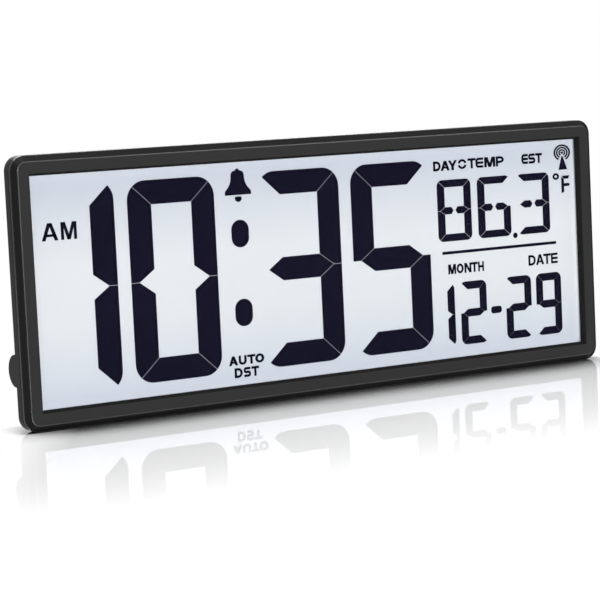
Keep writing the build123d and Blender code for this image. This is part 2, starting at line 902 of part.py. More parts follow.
def display_ribbon():
    """A flat ribbon from the front glass's ledge, back through the carrier and up to the board."""
    half = ribbon_thickness / 2
    ledge_top = middle - glass_height / 2 + ledge_height - ribbon_slot_gap
    fold = ledge_top - ribbon_bond
    on_glass = figures_front + half
    on_board = board_depth - half
    board_end = board_bottom + ribbon_board_lap
    path = FilletPolyline(
        (on_glass, ledge_top), (on_glass, fold), (on_board, fold), (on_board, board_end), radius=ribbon_bend
    )
    profile = trace(path, ribbon_thickness)
    return bar(profile, zone_middle - ribbon_width / 2, zone_middle + ribbon_width / 2)


# Aerial and buzzer
def aerial_rod():
    return round_bar(rod_left, rod_right, rod_depth, rod_height, rod_radius)


def aerial_coil():
    half = coil_length / 2
    inner = rod_radius + rod_clearance
    ring = Pos(rod_depth, rod_height) * (Circle(inner + coil_wall) - Circle(inner))
    return bar(ring, -zone_middle - half, -zone_middle + half)


def aerial_holder():
    half = saddle_width / 2
    bottom = rod_height - holder_height / 2
    top = rod_height + holder_height / 2
    body = box(rod_left, rod_right, holder_front, wall_front, bottom, top)
    for x in (rod_left + saddle_inset, rod_right - saddle_inset):
        body += box(x - half, x + half, rod_depth, holder_front, bottom, top)
    seat = rod_radius + rod_clearance
    return body - round_bar(rod_left - overrun, rod_right + overrun, rod_depth, rod_height, seat)


def buzzer_disc():
    return disc(-zone_middle, buzzer_height, buzzer_radius, rim_front - buzzer_thickness, rim_front)


def buzzer_ceramic():
    back = rim_front - buzzer_thickness
    return disc(-zone_middle, buzzer_height, ceramic_radius, back - ceramic_thickness, back)


# Leads
def battery_lead(height):
    """A lead from a contact's tab to the back of the board."""
    start = bay_side + battery_lead_radius
    turn = bay_side + board_bay_gap / 2
    end = board_left + lead_board_lap
    on_tab = tab_depth + contact_thickness / 2 + battery_lead_radius
    high = board_back + battery_lead_rise
    points = [
        at(start, on_tab, height), at(turn, on_tab, height), at(turn, high, height), at(end, high, height),
        at(end, board_back, height),
    ]
    return lead(points, battery_lead_radius, battery_lead_bend)


def aerial_leads():
    """Two thin leads from the coil, under the battery bay, to the back of the board."""
    coil_end = -zone_middle + coil_length / 2
    coil_foot = rod_height - rod_radius - rod_clearance - coil_wall - thin_lead_radius
    turn = coil_end + lead_side_gap
    run = board_bottom + lead_edge_gap
    leads = []
    for i in range(2):
        depth = rod_depth + i * thin_lead_pitch
        end = board_left + lead_board_lap + i * thin_lead_pitch
        points = [
            at(coil_end - lead_side_gap, depth, coil_foot), at(turn, depth, coil_foot), at(turn, depth, run),
            at(end, depth, run), at(end, board_back, run),
        ]
        leads.append(lead(points, thin_lead_radius, thin_lead_bend))
    return leads


def buzzer_leads():
    """Two thin leads from the buzzer, under the battery bay, to the back of the board."""
    face = rim_front - buzzer_thickness - ceramic_thickness
    turn = -zone_middle + buzzer_radius + lead_side_gap
    run = board_bottom + lead_edge_gap
    leads = []
    for i in range(2):
        start = -zone_middle + i * 2 * thin_lead_pitch
        depth = face - (2 - i) * thin_lead_pitch
        end = board_left + lead_board_lap + (3 + i) * thin_lead_pitch
        points = [
            at(start, face, buzzer_height), at(start, depth, buzzer_height), at(turn, depth, buzzer_height),
            at(turn, depth, run), at(end, depth, run), at(end, board_back, run),
        ]
        leads.append(lead(points, thin_lead_radius, thin_lead_bend))
    return leads


# Legs
def leg(side):
    """A flat leg with a round hinge end, folded up against the cover."""
    half = leg_thickness / 2
    top = leg_pivot_height + leg_length - foot_pad_length
    strip_middle = (leg_pivot_height + top) / 2
    profile = Pos(pivot_depth, strip_middle) * Rectangle(leg_thickness, top - leg_pivot_height)
    profile += Pos(pivot_depth, leg_pivot_height) * Circle(half)
    profile -= Pos(pivot_depth, leg_pivot_height) * Circle(pin_radius + pin_clearance)
    body = bar(profile, min(side * leg_inner, side * leg_outer), max(side * leg_inner, side * leg_outer))
    pocket_back = pivot_depth + half
    body = fillet(edges_at(body, pocket_back).filter_by(Axis.Z), leg_edge_radius)
    left = side * (leg_inner + leg_outer) / 2 - leg_width / 2 + leg_pocket_margin
    return body - box(
        left, left + leg_width - 2 * leg_pocket_margin, pocket_back - leg_pocket_depth, pocket_back + overrun,
        leg_pivot_height + 2 * leg_pocket_margin, top - leg_pocket_margin,
    )


def foot_pad(side):
    """The rubber end of a leg."""
    half = leg_thickness / 2
    top = leg_pivot_height + leg_length
    left = min(side * leg_inner, side * leg_outer)
    body = box(left, left + leg_width, pivot_depth - half, pivot_depth + half, top - foot_pad_length, top)
    return fillet(body.edges().filter_by_position(Axis.Z, top, top), foot_pad_radius)


def leg_pin(side):
    return round_bar(side * inner_lug_inner, side * pin_outer, pivot_depth, leg_pivot_height, pin_radius)


# Screws
def screw(x, height, head_front, head_back, tip):
    """A screw along the depth, with a cross recess in its round head."""
    cross = Rectangle(cross_length, cross_width) + Rectangle(cross_width, cross_length)
    cross_end = head_back + (cross_depth if head_front > head_back else -cross_depth)
    body = disc(x, height, screw_head_radius, min(head_front, head_back), max(head_front, head_back))
    body += disc(x, height, screw_radius, min(head_front, tip), max(head_front, tip))
    return body - slab(Pos(x, height) * cross, min(head_back, cross_end), max(head_back, cross_end))


def case_screws():
    seat = rim_depth - screw_sink
    tip = bevel_depth + screw_clearance
    return [screw(x, z, seat, seat + screw_head_height, tip) for x, z in screw_places]


def board_screws():
    tip = board_depth + board_screw_length
    return [screw(x, z, board_depth, board_depth - screw_head_height, tip) for x, z in post_places]


# All the pieces
pieces = {
    "front_frame": front_frame(),
    "display_gasket": display_gasket(),
    "front_polariser": front_polariser(),
    "display_front_glass": front_glass(),
    "time_figures": time_figures(),
    "temperature_figures": temperature_figures(),
    "date_figures": date_figures(),
    "display_rear_glass": rear_pane(rear_glass_front, reflector_front),
    "display_reflector": rear_pane(reflector_front, carrier_front),
    "display_carrier": display_carrier(),
    "display_ribbon": display_ribbon(),
    "main_board": main_board(),
    "chip_cover": chip_cover(),
    "quartz_can": quartz_can(),
    "capacitor": capacitor(),
    "radio_header": radio_header(),
    "radio_board": radio_board(),
    "temperature_sensor": temperature_sensor(),
    "switch_bodies": switch_bodies(),
    "aerial_rod": aerial_rod(),
    "aerial_coil": aerial_coil(),
    "aerial_holder": aerial_holder(),
    "buzzer_disc": buzzer_disc(),
    "buzzer_ceramic": buzzer_ceramic(),
    "red_battery_lead": battery_lead(cell_heights[-1]),
    "black_battery_lead": battery_lead(cell_heights[0]),
    "aerial_leads": aerial_leads(),
    "buzzer_leads": buzzer_leads(),
    "rear_cover": rear_cover(),
    "battery_cells": battery_cells(),
    "contact_plates": contact_plates(),
    "contact_leaves": contact_leaves(),
    "battery_door": battery_door(),
    "case_screws": case_screws(),
    "board_screws": board_screws(),
    "left_leg": leg(-1),
    "right_leg": leg(1),
    "left_foot_pad": foot_pad(-1),
    "right_foot_pad": foot_pad(1),
    "left_leg_pin": leg_pin(-1),
    "right_leg_pin": leg_pin(1),
}
for name, height in zip(key_names, key_heights):
    pieces[f"{name}_key"] = key(height)
    pieces[f"{name}_plunger"] = switch_plunger(height)

os.makedirs("parts", exist_ok=True)
for name, piece in pieces.items():
    shape = Compound(piece) if isinstance(piece, list) else piece
    export_step(shape, f"parts/{name}.step")
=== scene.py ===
import math

import bmesh
import bpy
from mathutils import Matrix, Vector


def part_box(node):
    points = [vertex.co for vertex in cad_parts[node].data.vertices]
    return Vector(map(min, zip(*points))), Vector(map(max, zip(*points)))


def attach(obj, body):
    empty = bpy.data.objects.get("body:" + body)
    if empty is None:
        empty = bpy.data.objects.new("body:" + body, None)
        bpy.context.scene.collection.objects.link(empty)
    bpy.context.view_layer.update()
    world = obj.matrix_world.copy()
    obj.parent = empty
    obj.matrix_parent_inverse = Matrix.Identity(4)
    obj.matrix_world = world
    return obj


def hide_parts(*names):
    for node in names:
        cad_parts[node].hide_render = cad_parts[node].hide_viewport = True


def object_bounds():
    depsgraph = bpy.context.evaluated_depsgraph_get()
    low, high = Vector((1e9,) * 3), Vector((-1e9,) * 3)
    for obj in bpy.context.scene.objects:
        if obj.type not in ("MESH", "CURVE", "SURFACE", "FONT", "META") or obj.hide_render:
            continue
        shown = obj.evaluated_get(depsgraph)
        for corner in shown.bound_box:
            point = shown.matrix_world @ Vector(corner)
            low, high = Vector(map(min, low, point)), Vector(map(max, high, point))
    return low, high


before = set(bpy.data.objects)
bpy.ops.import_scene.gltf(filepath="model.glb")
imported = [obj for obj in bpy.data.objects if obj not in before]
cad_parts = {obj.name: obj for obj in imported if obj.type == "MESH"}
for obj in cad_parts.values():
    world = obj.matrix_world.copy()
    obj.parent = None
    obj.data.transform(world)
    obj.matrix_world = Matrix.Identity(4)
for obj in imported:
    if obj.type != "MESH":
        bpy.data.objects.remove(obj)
cad_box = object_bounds()
mm = 0.001


# Front frame: the slim moulding round the display, with a satin face, a polished slope outside it
# and a narrow slope down to the glass inside. Injection-moulded ABS, black right through.
# Eight screws from behind hold it to the rear cover.
def new_finish(name):
    """A material, its node tree, its shader and the coordinates of the piece that wears it."""
    finish = bpy.data.materials.new(name)
    finish.use_nodes = True
    tree = finish.node_tree
    place = tree.nodes.new("ShaderNodeTexCoord").outputs["Object"]
    return finish, tree, tree.nodes["Principled BSDF"], place


def mottle(tree, place, size, detail=2.0):
    """Soft random patches of about one size, from 0 to 1."""
    node = tree.nodes.new("ShaderNodeTexNoise")
    node.inputs["Scale"].default_value = 1 / size
    node.inputs["Detail"].default_value = detail
    tree.links.new(place, node.inputs["Vector"])
    return node.outputs[0]


def spread(tree, value, low, high, start=0.0, end=1.0):
    """A value between start and end, stretched to run from low to high."""
    node = tree.nodes.new("ShaderNodeMapRange")
    node.inputs["From Min"].default_value = start
    node.inputs["From Max"].default_value = end
    node.inputs["To Min"].default_value = low
    node.inputs["To Max"].default_value = high
    tree.links.new(value, node.inputs["Value"])
    return node.outputs["Result"]


def shades(tree, value, *stops):
    """A colour that follows a value through stops of (place, colour)."""
    node = tree.nodes.new("ShaderNodeValToRGB")
    elements = node.color_ramp.elements
    while len(elements) < len(stops):
        elements.new(0.5)
    for element, (spot, colour) in zip(elements, stops):
        element.position = spot
        element.color = (*colour, 1.0)
    tree.links.new(value, node.inputs["Fac"])
    return node.outputs["Color"]


def relief(tree, value, shader, depth):
    """Fine relief of one depth under the gloss."""
    node = tree.nodes.new("ShaderNodeBump")
    node.inputs["Distance"].default_value = depth
    tree.links.new(value, node.inputs["Height"])
    tree.links.new(node.outputs["Normal"], shader.inputs["Normal"])


def soften(tree, shader, radius):
    """Rounds the look of the edges by a radius, below the relief, and gives the rounded normal."""
    node = tree.nodes.new("ShaderNodeBevel")
    node.inputs["Radius"].default_value = radius
    bump = shader.inputs["Normal"].links[0].from_node
    tree.links.new(node.outputs["Normal"], bump.inputs["Normal"])
    return node.outputs["Normal"]


def split_up(tree, vector):
    """The X, Y and Z of a vector."""
    node = tree.nodes.new("ShaderNodeSeparateXYZ")
    tree.links.new(vector, node.inputs["Vector"])
    return node.outputs


def sum_up(tree, operation, first, second=0.0):
    """One sum of two values, each a socket or a number."""
    node = tree.nodes.new("ShaderNodeMath")
    node.operation = operation
    for socket, value in zip(node.inputs, (first, second)):
        if isinstance(value, (int, float)):
            socket.default_value = value
        else:
            tree.links.new(value, socket)
    return node.outputs["Value"]


def midway(tree, value):
    """How near a value is to halfway: nothing at 0 and at 1, and a quarter in the middle."""
    return sum_up(tree, "MULTIPLY", value, sum_up(tree, "SUBTRACT", 1.0, value))


def dress(finish, *names):
    """Gives CAD nodes a finish."""
    for name in names:
        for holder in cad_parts[name].material_slots:
            holder.material = finish


# The moulding is one black. The outer slopes' deeper black is painted shade, and the lighter black of the
# inner slopes and of the slopes facing right is painted light.
face_black = (0.0105, 0.0105, 0.0105)
painted_shade_black = (0.0028, 0.0028, 0.0028)
painted_light_black = (0.0165, 0.0163, 0.0164)
face_stop = 0.6
edge_soften = 0.7 * mm
edge_zone = 7.5 * mm
# Where a look starts and is full, as the surface turns to the front or to the right.
face_turns = (-0.83, -0.98)
side_turns = (-0.4, -0.74)
right_turns = (0.05, 0.25)
slope_roughness = 0.3
face_roughness = 0.44
patch_roughness = 0.08
patch_size = 25 * mm
slope_shine = 0.14
base_shine = 0.25
face_shine = 0.212
base_zone = 8 * mm
base_fade = 12 * mm
edge_shine = 2.1
edge_most = 0.25
frame_grain = 0.35 * mm
frame_relief = 0.008 * mm
frame_low, frame_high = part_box("front_frame")
frame_middle = (frame_low + frame_high) / 2
frame_plastic, tree, shader, place = new_finish("frame_plastic")
relief(tree, mottle(tree, place, frame_grain, detail=3.0), shader, frame_relief)
turn = split_up(tree, soften(tree, shader, edge_soften))
spot = split_up(tree, place)
aside = sum_up(tree, "ABSOLUTE", spot["X"])
above = sum_up(tree, "ABSOLUTE", sum_up(tree, "SUBTRACT", spot["Z"], frame_middle.z))
outward = sum_up(
    tree, "MAXIMUM",
    sum_up(tree, "SUBTRACT", aside, frame_high.x - edge_zone),
    sum_up(tree, "SUBTRACT", above, frame_high.z - frame_middle.z - edge_zone),
)
outer = sum_up(tree, "GREATER_THAN", outward, 0.0)
facing = spread(tree, turn["Y"], 0.0, 1.0, *face_turns)
rounding = spread(tree, turn["Y"], 0.0, 1.0, *side_turns)
polish_and_painted_shade = sum_up(tree, "MULTIPLY", outer, spread(tree, turn["X"], 1.0, 0.0, *right_turns))
rounded = sum_up(tree, "MAXIMUM", midway(tree, facing), midway(tree, rounding))
edges = sum_up(tree, "MULTIPLY", polish_and_painted_shade, rounded)
# Slopes that are not polished take the painted light, and the polished outer slopes take the painted shade.
dull = sum_up(tree, "SUBTRACT", 1.0, polish_and_painted_shade)
tone = sum_up(tree, "ADD", sum_up(tree, "MULTIPLY", facing, face_stop), dull)
tone = sum_up(tree, "MINIMUM", tone, spread(tree, facing, 1.0, face_stop))
painted_light_and_shade_blacks = shades(tree, tone, (0.0, painted_shade_black), (face_stop, face_black), (1.0, painted_light_black))
tree.links.new(painted_light_and_shade_blacks, shader.inputs["Base Color"])
patch = spread(tree, mottle(tree, place, patch_size), 0.0, patch_roughness)
satin = sum_up(tree, "ADD", spread(tree, facing, slope_roughness, face_roughness), patch)
tree.links.new(sum_up(tree, "SUBTRACT", satin, edges), shader.inputs["Roughness"])
slope_gloss = spread(tree, polish_and_painted_shade, 0.0, slope_shine)
fade_start = frame_low.z + base_zone
face_level = spread(tree, spot["Z"], base_shine, face_shine, fade_start, fade_start + base_fade)
face_gloss = sum_up(tree, "MULTIPLY", facing, sum_up(tree, "SUBTRACT", face_level, slope_gloss))
edge_gloss = spread(tree, edges, 0.0, edge_shine, 0.0, edge_most)
gloss = sum_up(tree, "ADD", sum_up(tree, "ADD", slope_gloss, face_gloss), edge_gloss)
tree.links.new(gloss, shader.inputs["Specular IOR Level"])
dress(frame_plastic, "front_frame")


# Display gasket: a thin black ring of closed-cell foam between the frame and the display's edge.
# Die-cut from sheet and stuck to the back of the frame, where it keeps dust off the glass.
foam_cell = 0.6 * mm
foam_relief = 0.05 * mm
foam_pits = (0.006, 0.006, 0.006)
foam_walls = (0.02, 0.02, 0.02)
gasket_foam, tree, shader, place = new_finish("gasket_foam")
foam = mottle(tree, place, foam_cell, detail=4.0)
tree.links.new(shades(tree, foam, (0.35, foam_pits), (0.7, foam_walls)), shader.inputs["Base Color"])
tree.links.new(spread(tree, foam, 0.8, 1.0), shader.inputs["Roughness"])
relief(tree, foam, shader, foam_relief)
dress(gasket_foam, "display_gasket")


# Front pane: a sheet of float glass with a clear polarising film laminated to its outside.
# Its cut edges are lightly ground, and it is so clear that only a low gloss shows at a glance.
def mesh_of(name, sheet):
    """Turns a bmesh into a mesh and lets the bmesh go."""
    mesh = bpy.data.meshes.new(name)
    sheet.to_mesh(mesh)
    sheet.free()
    return mesh


def place_piece(name, mesh, finish, body):
    """Puts a finished mesh in the scene as a piece that rides on a body."""
    piece = bpy.data.objects.new(name, mesh)
    bpy.context.scene.collection.objects.link(piece)
    mesh.materials.clear()
    mesh.materials.append(finish)
    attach(piece, body)
    return piece


def blend(tree, share, first, second):
    """Two shaders in one, of which the second takes a share."""
    node = tree.nodes.new("ShaderNodeMixShader")
    tree.links.new(share, node.inputs["Fac"])
    tree.links.new(first, node.inputs[1])
    tree.links.new(second, node.inputs[2])
    return node.outputs["Shader"]


ground_edge = 0.12 * mm
ink_gap = 0.03 * mm
glance_index = 1.08
smear_size = 30 * mm
smear_roughness = (0.08, 0.16)
film_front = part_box("front_polariser")[0].y
pane_low, pane_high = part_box("display_front_glass")
pane_front = Vector((pane_low.x, film_front, pane_low.z))
pane_back = Vector((pane_high.x, pane_high.y - ink_gap, pane_high.z))
pane = bmesh.new()
bmesh.ops.create_cube(pane, size=1)
bmesh.ops.scale(pane, verts=pane.verts[:], vec=pane_back - pane_front)
bmesh.ops.translate(pane, verts=pane.verts[:], vec=(pane_back + pane_front) / 2)
bmesh.ops.bevel(
    pane, geom=pane.edges[:], offset=ground_edge, affect="EDGES", segments=2, profile=0.5, material=-1
)
pane_glass, tree, shader, place = new_finish("pane_glass")
through = tree.nodes.new("ShaderNodeBsdfTransparent")
gloss = tree.nodes.new("ShaderNodeBsdfGlossy")
smear = mottle(tree, place, smear_size)
tree.links.new(spread(tree, smear, *smear_roughness), gloss.inputs["Roughness"])
glance = tree.nodes.new("ShaderNodeFresnel")
glance.inputs["IOR"].default_value = glance_index
inside = tree.nodes.new("ShaderNodeNewGeometry").outputs["Backfacing"]
outside = sum_up(tree, "MAXIMUM", sum_up(tree, "SUBTRACT", glance.outputs["Fac"], inside), 0.0)
glass = blend(tree, outside, through.outputs["BSDF"], gloss.outputs["BSDF"])
tree.links.new(glass, tree.nodes["Material Output"].inputs["Surface"])
tree.nodes.remove(shader)
front_pane = place_piece("front_pane", mesh_of("front_pane", pane), pane_glass, "case")
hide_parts("front_polariser", "display_front_glass")


# Rear pane and reflector: glass backed with the pale film that sends daylight back between the figures.
# Silver-white plastic sheet, stuck on all over, with painted shade that darkens it towards the top and the
# base.
# Close to the window's edges it is paler, which makes up for the frame's shade.
base_painted_shade = (0.576, 0.617, 0.688)
middle_pale = (0.648, 0.677, 0.702)
top_painted_shade = (0.522, 0.558, 0.623)
gasket_lap = 1.8 * mm
# How much paler the film is at each edge of the window, and how far in that fades.
right_lift = (0.9, 1.2 * mm)
left_lift = (0.14, 3.5 * mm)
base_lift = (0.38, 2.0 * mm)
top_lift = (0.34, 2.6 * mm)
most_lift = 1.45
frost_size = 0.2 * mm
film_gloss = 0.05
reflector_film, tree, shader, place = new_finish("reflector_film")
spot = split_up(tree, place)
low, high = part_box("display_rear_glass")
# Painted shade: the film's colour falls off from the middle towards the top and the base.
rise = spread(tree, spot["Z"], 0.0, 1.0, low.z, high.z)
pale = shades(tree, rise, (0.04, base_painted_shade), (0.34, middle_pale), (0.6, middle_pale), (0.92, top_painted_shade))
gasket_low, gasket_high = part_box("display_gasket")
lift = 1.0
for axis, edge, way, (amount, reach) in (
    ("X", gasket_high.x - gasket_lap, 1, right_lift),
    ("X", gasket_low.x + gasket_lap, -1, left_lift),
    ("Z", gasket_low.z + gasket_lap, -1, base_lift),
    ("Z", gasket_high.z - gasket_lap, 1, top_lift),
):
    inward = sum_up(tree, "MULTIPLY", sum_up(tree, "SUBTRACT", spot[axis], edge), way / reach)
    glow = sum_up(tree, "MULTIPLY", sum_up(tree, "POWER", math.e, inward), amount)
    lift = sum_up(tree, "ADD", glow, lift)
lifted = tree.nodes.new("ShaderNodeVectorMath")
lifted.operation = "SCALE"
tree.links.new(pale, lifted.inputs["Vector"])
tree.links.new(sum_up(tree, "MINIMUM", lift, most_lift), lifted.inputs["Scale"])
tree.links.new(lifted.outputs["Vector"], shader.inputs["Base Color"])
frost = mottle(tree, place, frost_size, detail=3.0)
tree.links.new(spread(tree, frost, 0.5, 0.7), shader.inputs["Roughness"])
shader.inputs["Specular IOR Level"].default_value = film_gloss
dress(reflector_film, "display_rear_glass", "display_reflector")


# Figures: the time, the temperature and the date, in seven-bar numerals with fine seams.
# Areas of the liquid crystal that turn dark blue-black where the electrodes are driven.
ink_dark = (0.0045, 0.004, 0.013)
ink_pale = (0.0055, 0.005, 0.0155)
# Painted light: the figures' walls are pale, which lifts the seams between the bars out of the shade of the
# ink's depth.
clear_wall_and_painted_light = (0.3, 0.31, 0.32)
ink_drift = 30 * mm
ink_gloss = 0.02
dark_patch = 0.3
pale_patch = 0.7


def dark_crystal(name, wall):
    """The driven layer: dark in front, with walls of a given colour, which for the figures is partly the
    clear layer beside them and partly painted light in the seams.
    """
    finish, tree, shader, place = new_finish(name)
    drift = mottle(tree, place, ink_drift)
    turn = split_up(tree, tree.nodes.new("ShaderNodeNewGeometry").outputs["True Normal"])
    front = sum_up(tree, "ABSOLUTE", turn["Y"])
    inked = sum_up(tree, "MULTIPLY", front, spread(tree, drift, 0.7, 1.0, dark_patch, pale_patch))
    tree.links.new(
        shades(tree, inked, (0.5, wall), (0.7, ink_dark), (1.0, ink_pale)), shader.inputs["Base Color"]
    )
    tree.links.new(spread(tree, drift, 0.5, 0.6), shader.inputs["Roughness"])
    shader.inputs["Specular IOR Level"].default_value = ink_gloss
    return finish


dress(dark_crystal("figure_ink", clear_wall_and_painted_light), "time_figures", "temperature_figures", "date_figures")


# Words on the display: fixed lettering for the half of the day, the summer time, the zone and the date.
# Etched in the same electrode layer as the figures, so it has their colour and depth.
figures_low, figures_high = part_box("time_figures")
display_middle = Vector((frame_middle.x, 0, frame_middle.z))
sign_ink = dark_crystal("sign_ink", ink_dark)
ink_front = figures_low.y
ink_depth = figures_high.y - figures_low.y
bow_steps = 16


def on_display(x, height):
    """A place at the front of the ink, from the display's centre, in millimetres."""
    return display_middle + Vector((x * mm, ink_front, height * mm))


def patch_of(sheet, *corners):
    """A flat face between corners on the display."""
    sheet.faces.new([sheet.verts.new(on_display(x, height)) for x, height in corners])


def thicken(sheet, depth):
    """Gives flat faces a depth, towards the back where it is above zero."""
    made = bmesh.ops.extrude_face_region(sheet, geom=sheet.faces[:])
    fresh = [part for part in made["geom"] if isinstance(part, bmesh.types.BMVert)]
    bmesh.ops.translate(sheet, verts=fresh, vec=(0, depth, 0))
    bmesh.ops.recalc_face_normals(sheet, faces=sheet.faces[:])


def sign(name, sheet):
    """Turns a drawn sheet into a piece of the display."""
    thicken(sheet, ink_depth)
    place_piece(name, mesh_of(name, sheet), sign_ink, "case")


def stem(left, right, bottom=0.0, top=1.0):
    """An upright or level stroke, in shares of a letter's width and height."""
    return [(left, bottom), (right, bottom), (right, top), (left, top)]


def slant(foot, head, width, bottom=0.0, top=1.0):
    """A sloping stroke with level ends."""
    return [(foot, bottom), (foot + width, bottom), (head + width, top), (head, top)]


def bow(x, height, reach, rise, upright, level, start, end):
    """A curved stroke about a centre, as short flat pieces, between two angles in degrees."""
    turns = [math.radians(start + (end - start) * step / bow_steps) for step in range(bow_steps + 1)]
    outer = [(x + reach * math.cos(turn), height + rise * math.sin(turn)) for turn in turns]
    inner = [
        (x + (reach - upright) * math.cos(turn), height + (rise - level) * math.sin(turn)) for turn in turns
    ]
    return [[outer[i], outer[i + 1], inner[i + 1], inner[i]] for i in range(bow_steps)]


peak_share = 0.36
bar_inset_share = 0.15
bar_rise_share = 0.22
bar_weight_share = 0.8
leg_weight_share = 0.84
valley_weight_share = 0.92
valley_inset_share = 0.08
diagonal_weight_share = 1.15
bowl_start_share = 0.45
loop_foot_share = 0.33
hook_share = 0.32
hook_gap_share = 0.06
cup_share = 0.38
fork_share = 0.4
corner_share = 0.36


def alphabet(upright, level):
    """The strokes of each letter, for upright and level strokes of two widths."""
    left = stem(0.0, upright)
    right = stem(1 - upright, 1.0)
    middle_left = 0.5 - upright / 2
    middle_right = 0.5 + upright / 2
    top = stem(0.0, 1.0, 1 - level, 1.0)
    low = stem(0.0, 1.0, 0.0, level)
    cross_low = 0.5 - level / 2
    cross_high = 0.5 + level / 2
    cross = stem(0.0, 1.0, cross_low, cross_high)
    bar = bar_weight_share * level
    leg = leg_weight_share * upright
    valley = valley_weight_share * upright
    diagonal = diagonal_weight_share * upright
    hook_rise = 0.25 + level / 4
    return {
        "A": [
            slant(0.0, peak_share, upright),
            slant(1 - upright, 1 - peak_share - upright, upright),
            stem(bar_inset_share, 1 - bar_inset_share, bar_rise_share, bar_rise_share + bar),
        ],
        "D": [left, stem(0.0, bowl_start_share, 1 - level, 1.0), stem(0.0, bowl_start_share, 0.0, level)]
        + bow(bowl_start_share, 0.5, 1 - bowl_start_share, 0.5, upright, level, -90, 90),
        "E": [left, top, low, cross],
        "H": [left, right, cross],
        "M": [
            stem(0.0, leg),
            stem(1 - leg, 1.0),
            slant(middle_left, valley_inset_share, valley),
            slant(middle_left, 1 - valley_inset_share - valley, valley),
        ],
        "N": [left, right, slant(1 - diagonal, 0.0, diagonal)],
        "O": bow(0.5, 0.5, 0.5, 0.5, upright, level, 0, 360),
        "P": [left, stem(0.0, 0.5, 1 - level, 1.0), stem(0.0, 0.5, loop_foot_share, loop_foot_share + level)]
        + bow(0.5, (1 + loop_foot_share) / 2, 0.5, (1 - loop_foot_share) / 2, upright, level, -90, 90),
        "S": [
            stem(hook_share, 1 - hook_gap_share, 1 - level, 1.0),
            stem(hook_gap_share, 1 - hook_share, 0.0, level),
            stem(hook_share, 1 - hook_share, cross_low, cross_high),
        ]
        + bow(hook_share, 1 - hook_rise, hook_share, hook_rise, upright, level, 90, 270)
        + bow(1 - hook_share, hook_rise, hook_share, hook_rise, upright, level, -90, 90),
        "T": [stem(middle_left, middle_right), top],
        "U": [stem(0.0, upright, cup_share, 1.0), stem(1 - upright, 1.0, cup_share, 1.0)]
        + bow(0.5, cup_share, 0.5, cup_share, upright, level, 180, 360),
        "Y": [
            stem(middle_left, middle_right, 0.0, 0.5),
            slant(middle_left, 0.0, upright, fork_share, 1.0),
            slant(middle_left, 1 - upright, upright, fork_share, 1.0),
        ],
        "round E": [
            stem(corner_share, 1.0, 1 - level, 1.0),
            stem(corner_share, 1.0, 0.0, level),
            cross,
            stem(0.0, upright, corner_share, 1 - corner_share),
        ]
        + bow(corner_share, 1 - corner_share, corner_share, corner_share, upright, level, 90, 180)
        + bow(corner_share, corner_share, corner_share, corner_share, upright, level, 180, 270),
    }


# Each word, its upright and level strokes in shares of a letter, its foot and head, and the left and
# right of its letters, in millimetres from the display's centre.
display_words = [
    ("morning_word", 0.22, 0.19, 25.95, 34.95, [("A", -167.4, -158.2), ("M", -156.6, -147.7)]),
    ("automatic_word", 0.29, 0.26, -48.7, -43.7, [
        ("A", -63.0, -57.4), ("U", -56.9, -52.1), ("T", -51.6, -46.6), ("O", -46.8, -41.1),
    ]),
    ("summer_time_word", 0.285, 0.25, -55.5, -50.2, [
        ("D", -59.8, -54.9), ("S", -54.2, -49.8), ("T", -49.4, -44.7),
    ]),
    ("day_word", 0.28, 0.25, 46.4, 51.9, [("D", 74.1, 79.2), ("A", 79.2, 85.4), ("Y", 84.4, 90.5)]),
    ("temperature_word", 0.262, 0.235, 46.6, 52.3, [
        ("T", 97.9, 103.5), ("round E", 103.4, 108.8), ("M", 109.5, 117.2), ("P", 117.7, 123.3),
    ]),
    ("zone_word", 0.285, 0.245, 46.8, 52.5, [
        ("round E", 135.9, 140.5), ("S", 140.8, 145.8), ("T", 145.9, 150.7),
    ]),
    ("month_word", 0.27, 0.235, -12.1, -6.5, [
        ("M", 81.6, 87.0), ("O", 87.4, 92.2), ("N", 92.8, 97.6), ("T", 97.5, 102.1), ("H", 102.4, 106.4),
    ]),
    ("date_word", 0.25, 0.22, -11.9, -5.9, [
        ("D", 138.2, 143.4), ("A", 143.6, 149.5), ("T", 149.0, 154.4), ("E", 154.6, 159.4),
    ]),
]
for name, upright, level, bottom, top, spaced in display_words:
    word = bmesh.new()
    strokes = alphabet(upright, level)
    for letter, left, right in spaced:
        for corners in strokes[letter]:
            patch_of(word, *[(left + x * (right - left), bottom + y * (top - bottom)) for x, y in corners])
    sign(name, word)


# Signs on the display: the alarm bell, the radio mast, the changeover arrows and the degree mark.
# Etched with the words, as plain shapes of one depth.
ring_steps = 48
weld = 0.001 * mm


def band(sheet, x, height, inner, outer, stretch, start, end):
    """A flat ring or part of one about a place, stretched sideways, between two angles in degrees."""
    centre = on_display(x, height)
    full = end - start == 360
    reach = Vector((math.cos(math.radians(start)), 0, math.sin(math.radians(start)))) * mm
    before = set(sheet.verts)
    ends = [sheet.verts.new(centre + reach * radius) for radius in (inner, outer)]
    edge = sheet.edges.new(ends)
    bmesh.ops.spin(
        sheet, geom=[*ends, edge], cent=centre, axis=(0, -1, 0), angle=math.radians(end - start),
        steps=ring_steps, use_merge=full,
    )
    drawn = [vertex for vertex in sheet.verts if vertex not in before]
    bmesh.ops.scale(sheet, verts=drawn, vec=(stretch, 1, 1), space=Matrix.Translation(-centre))


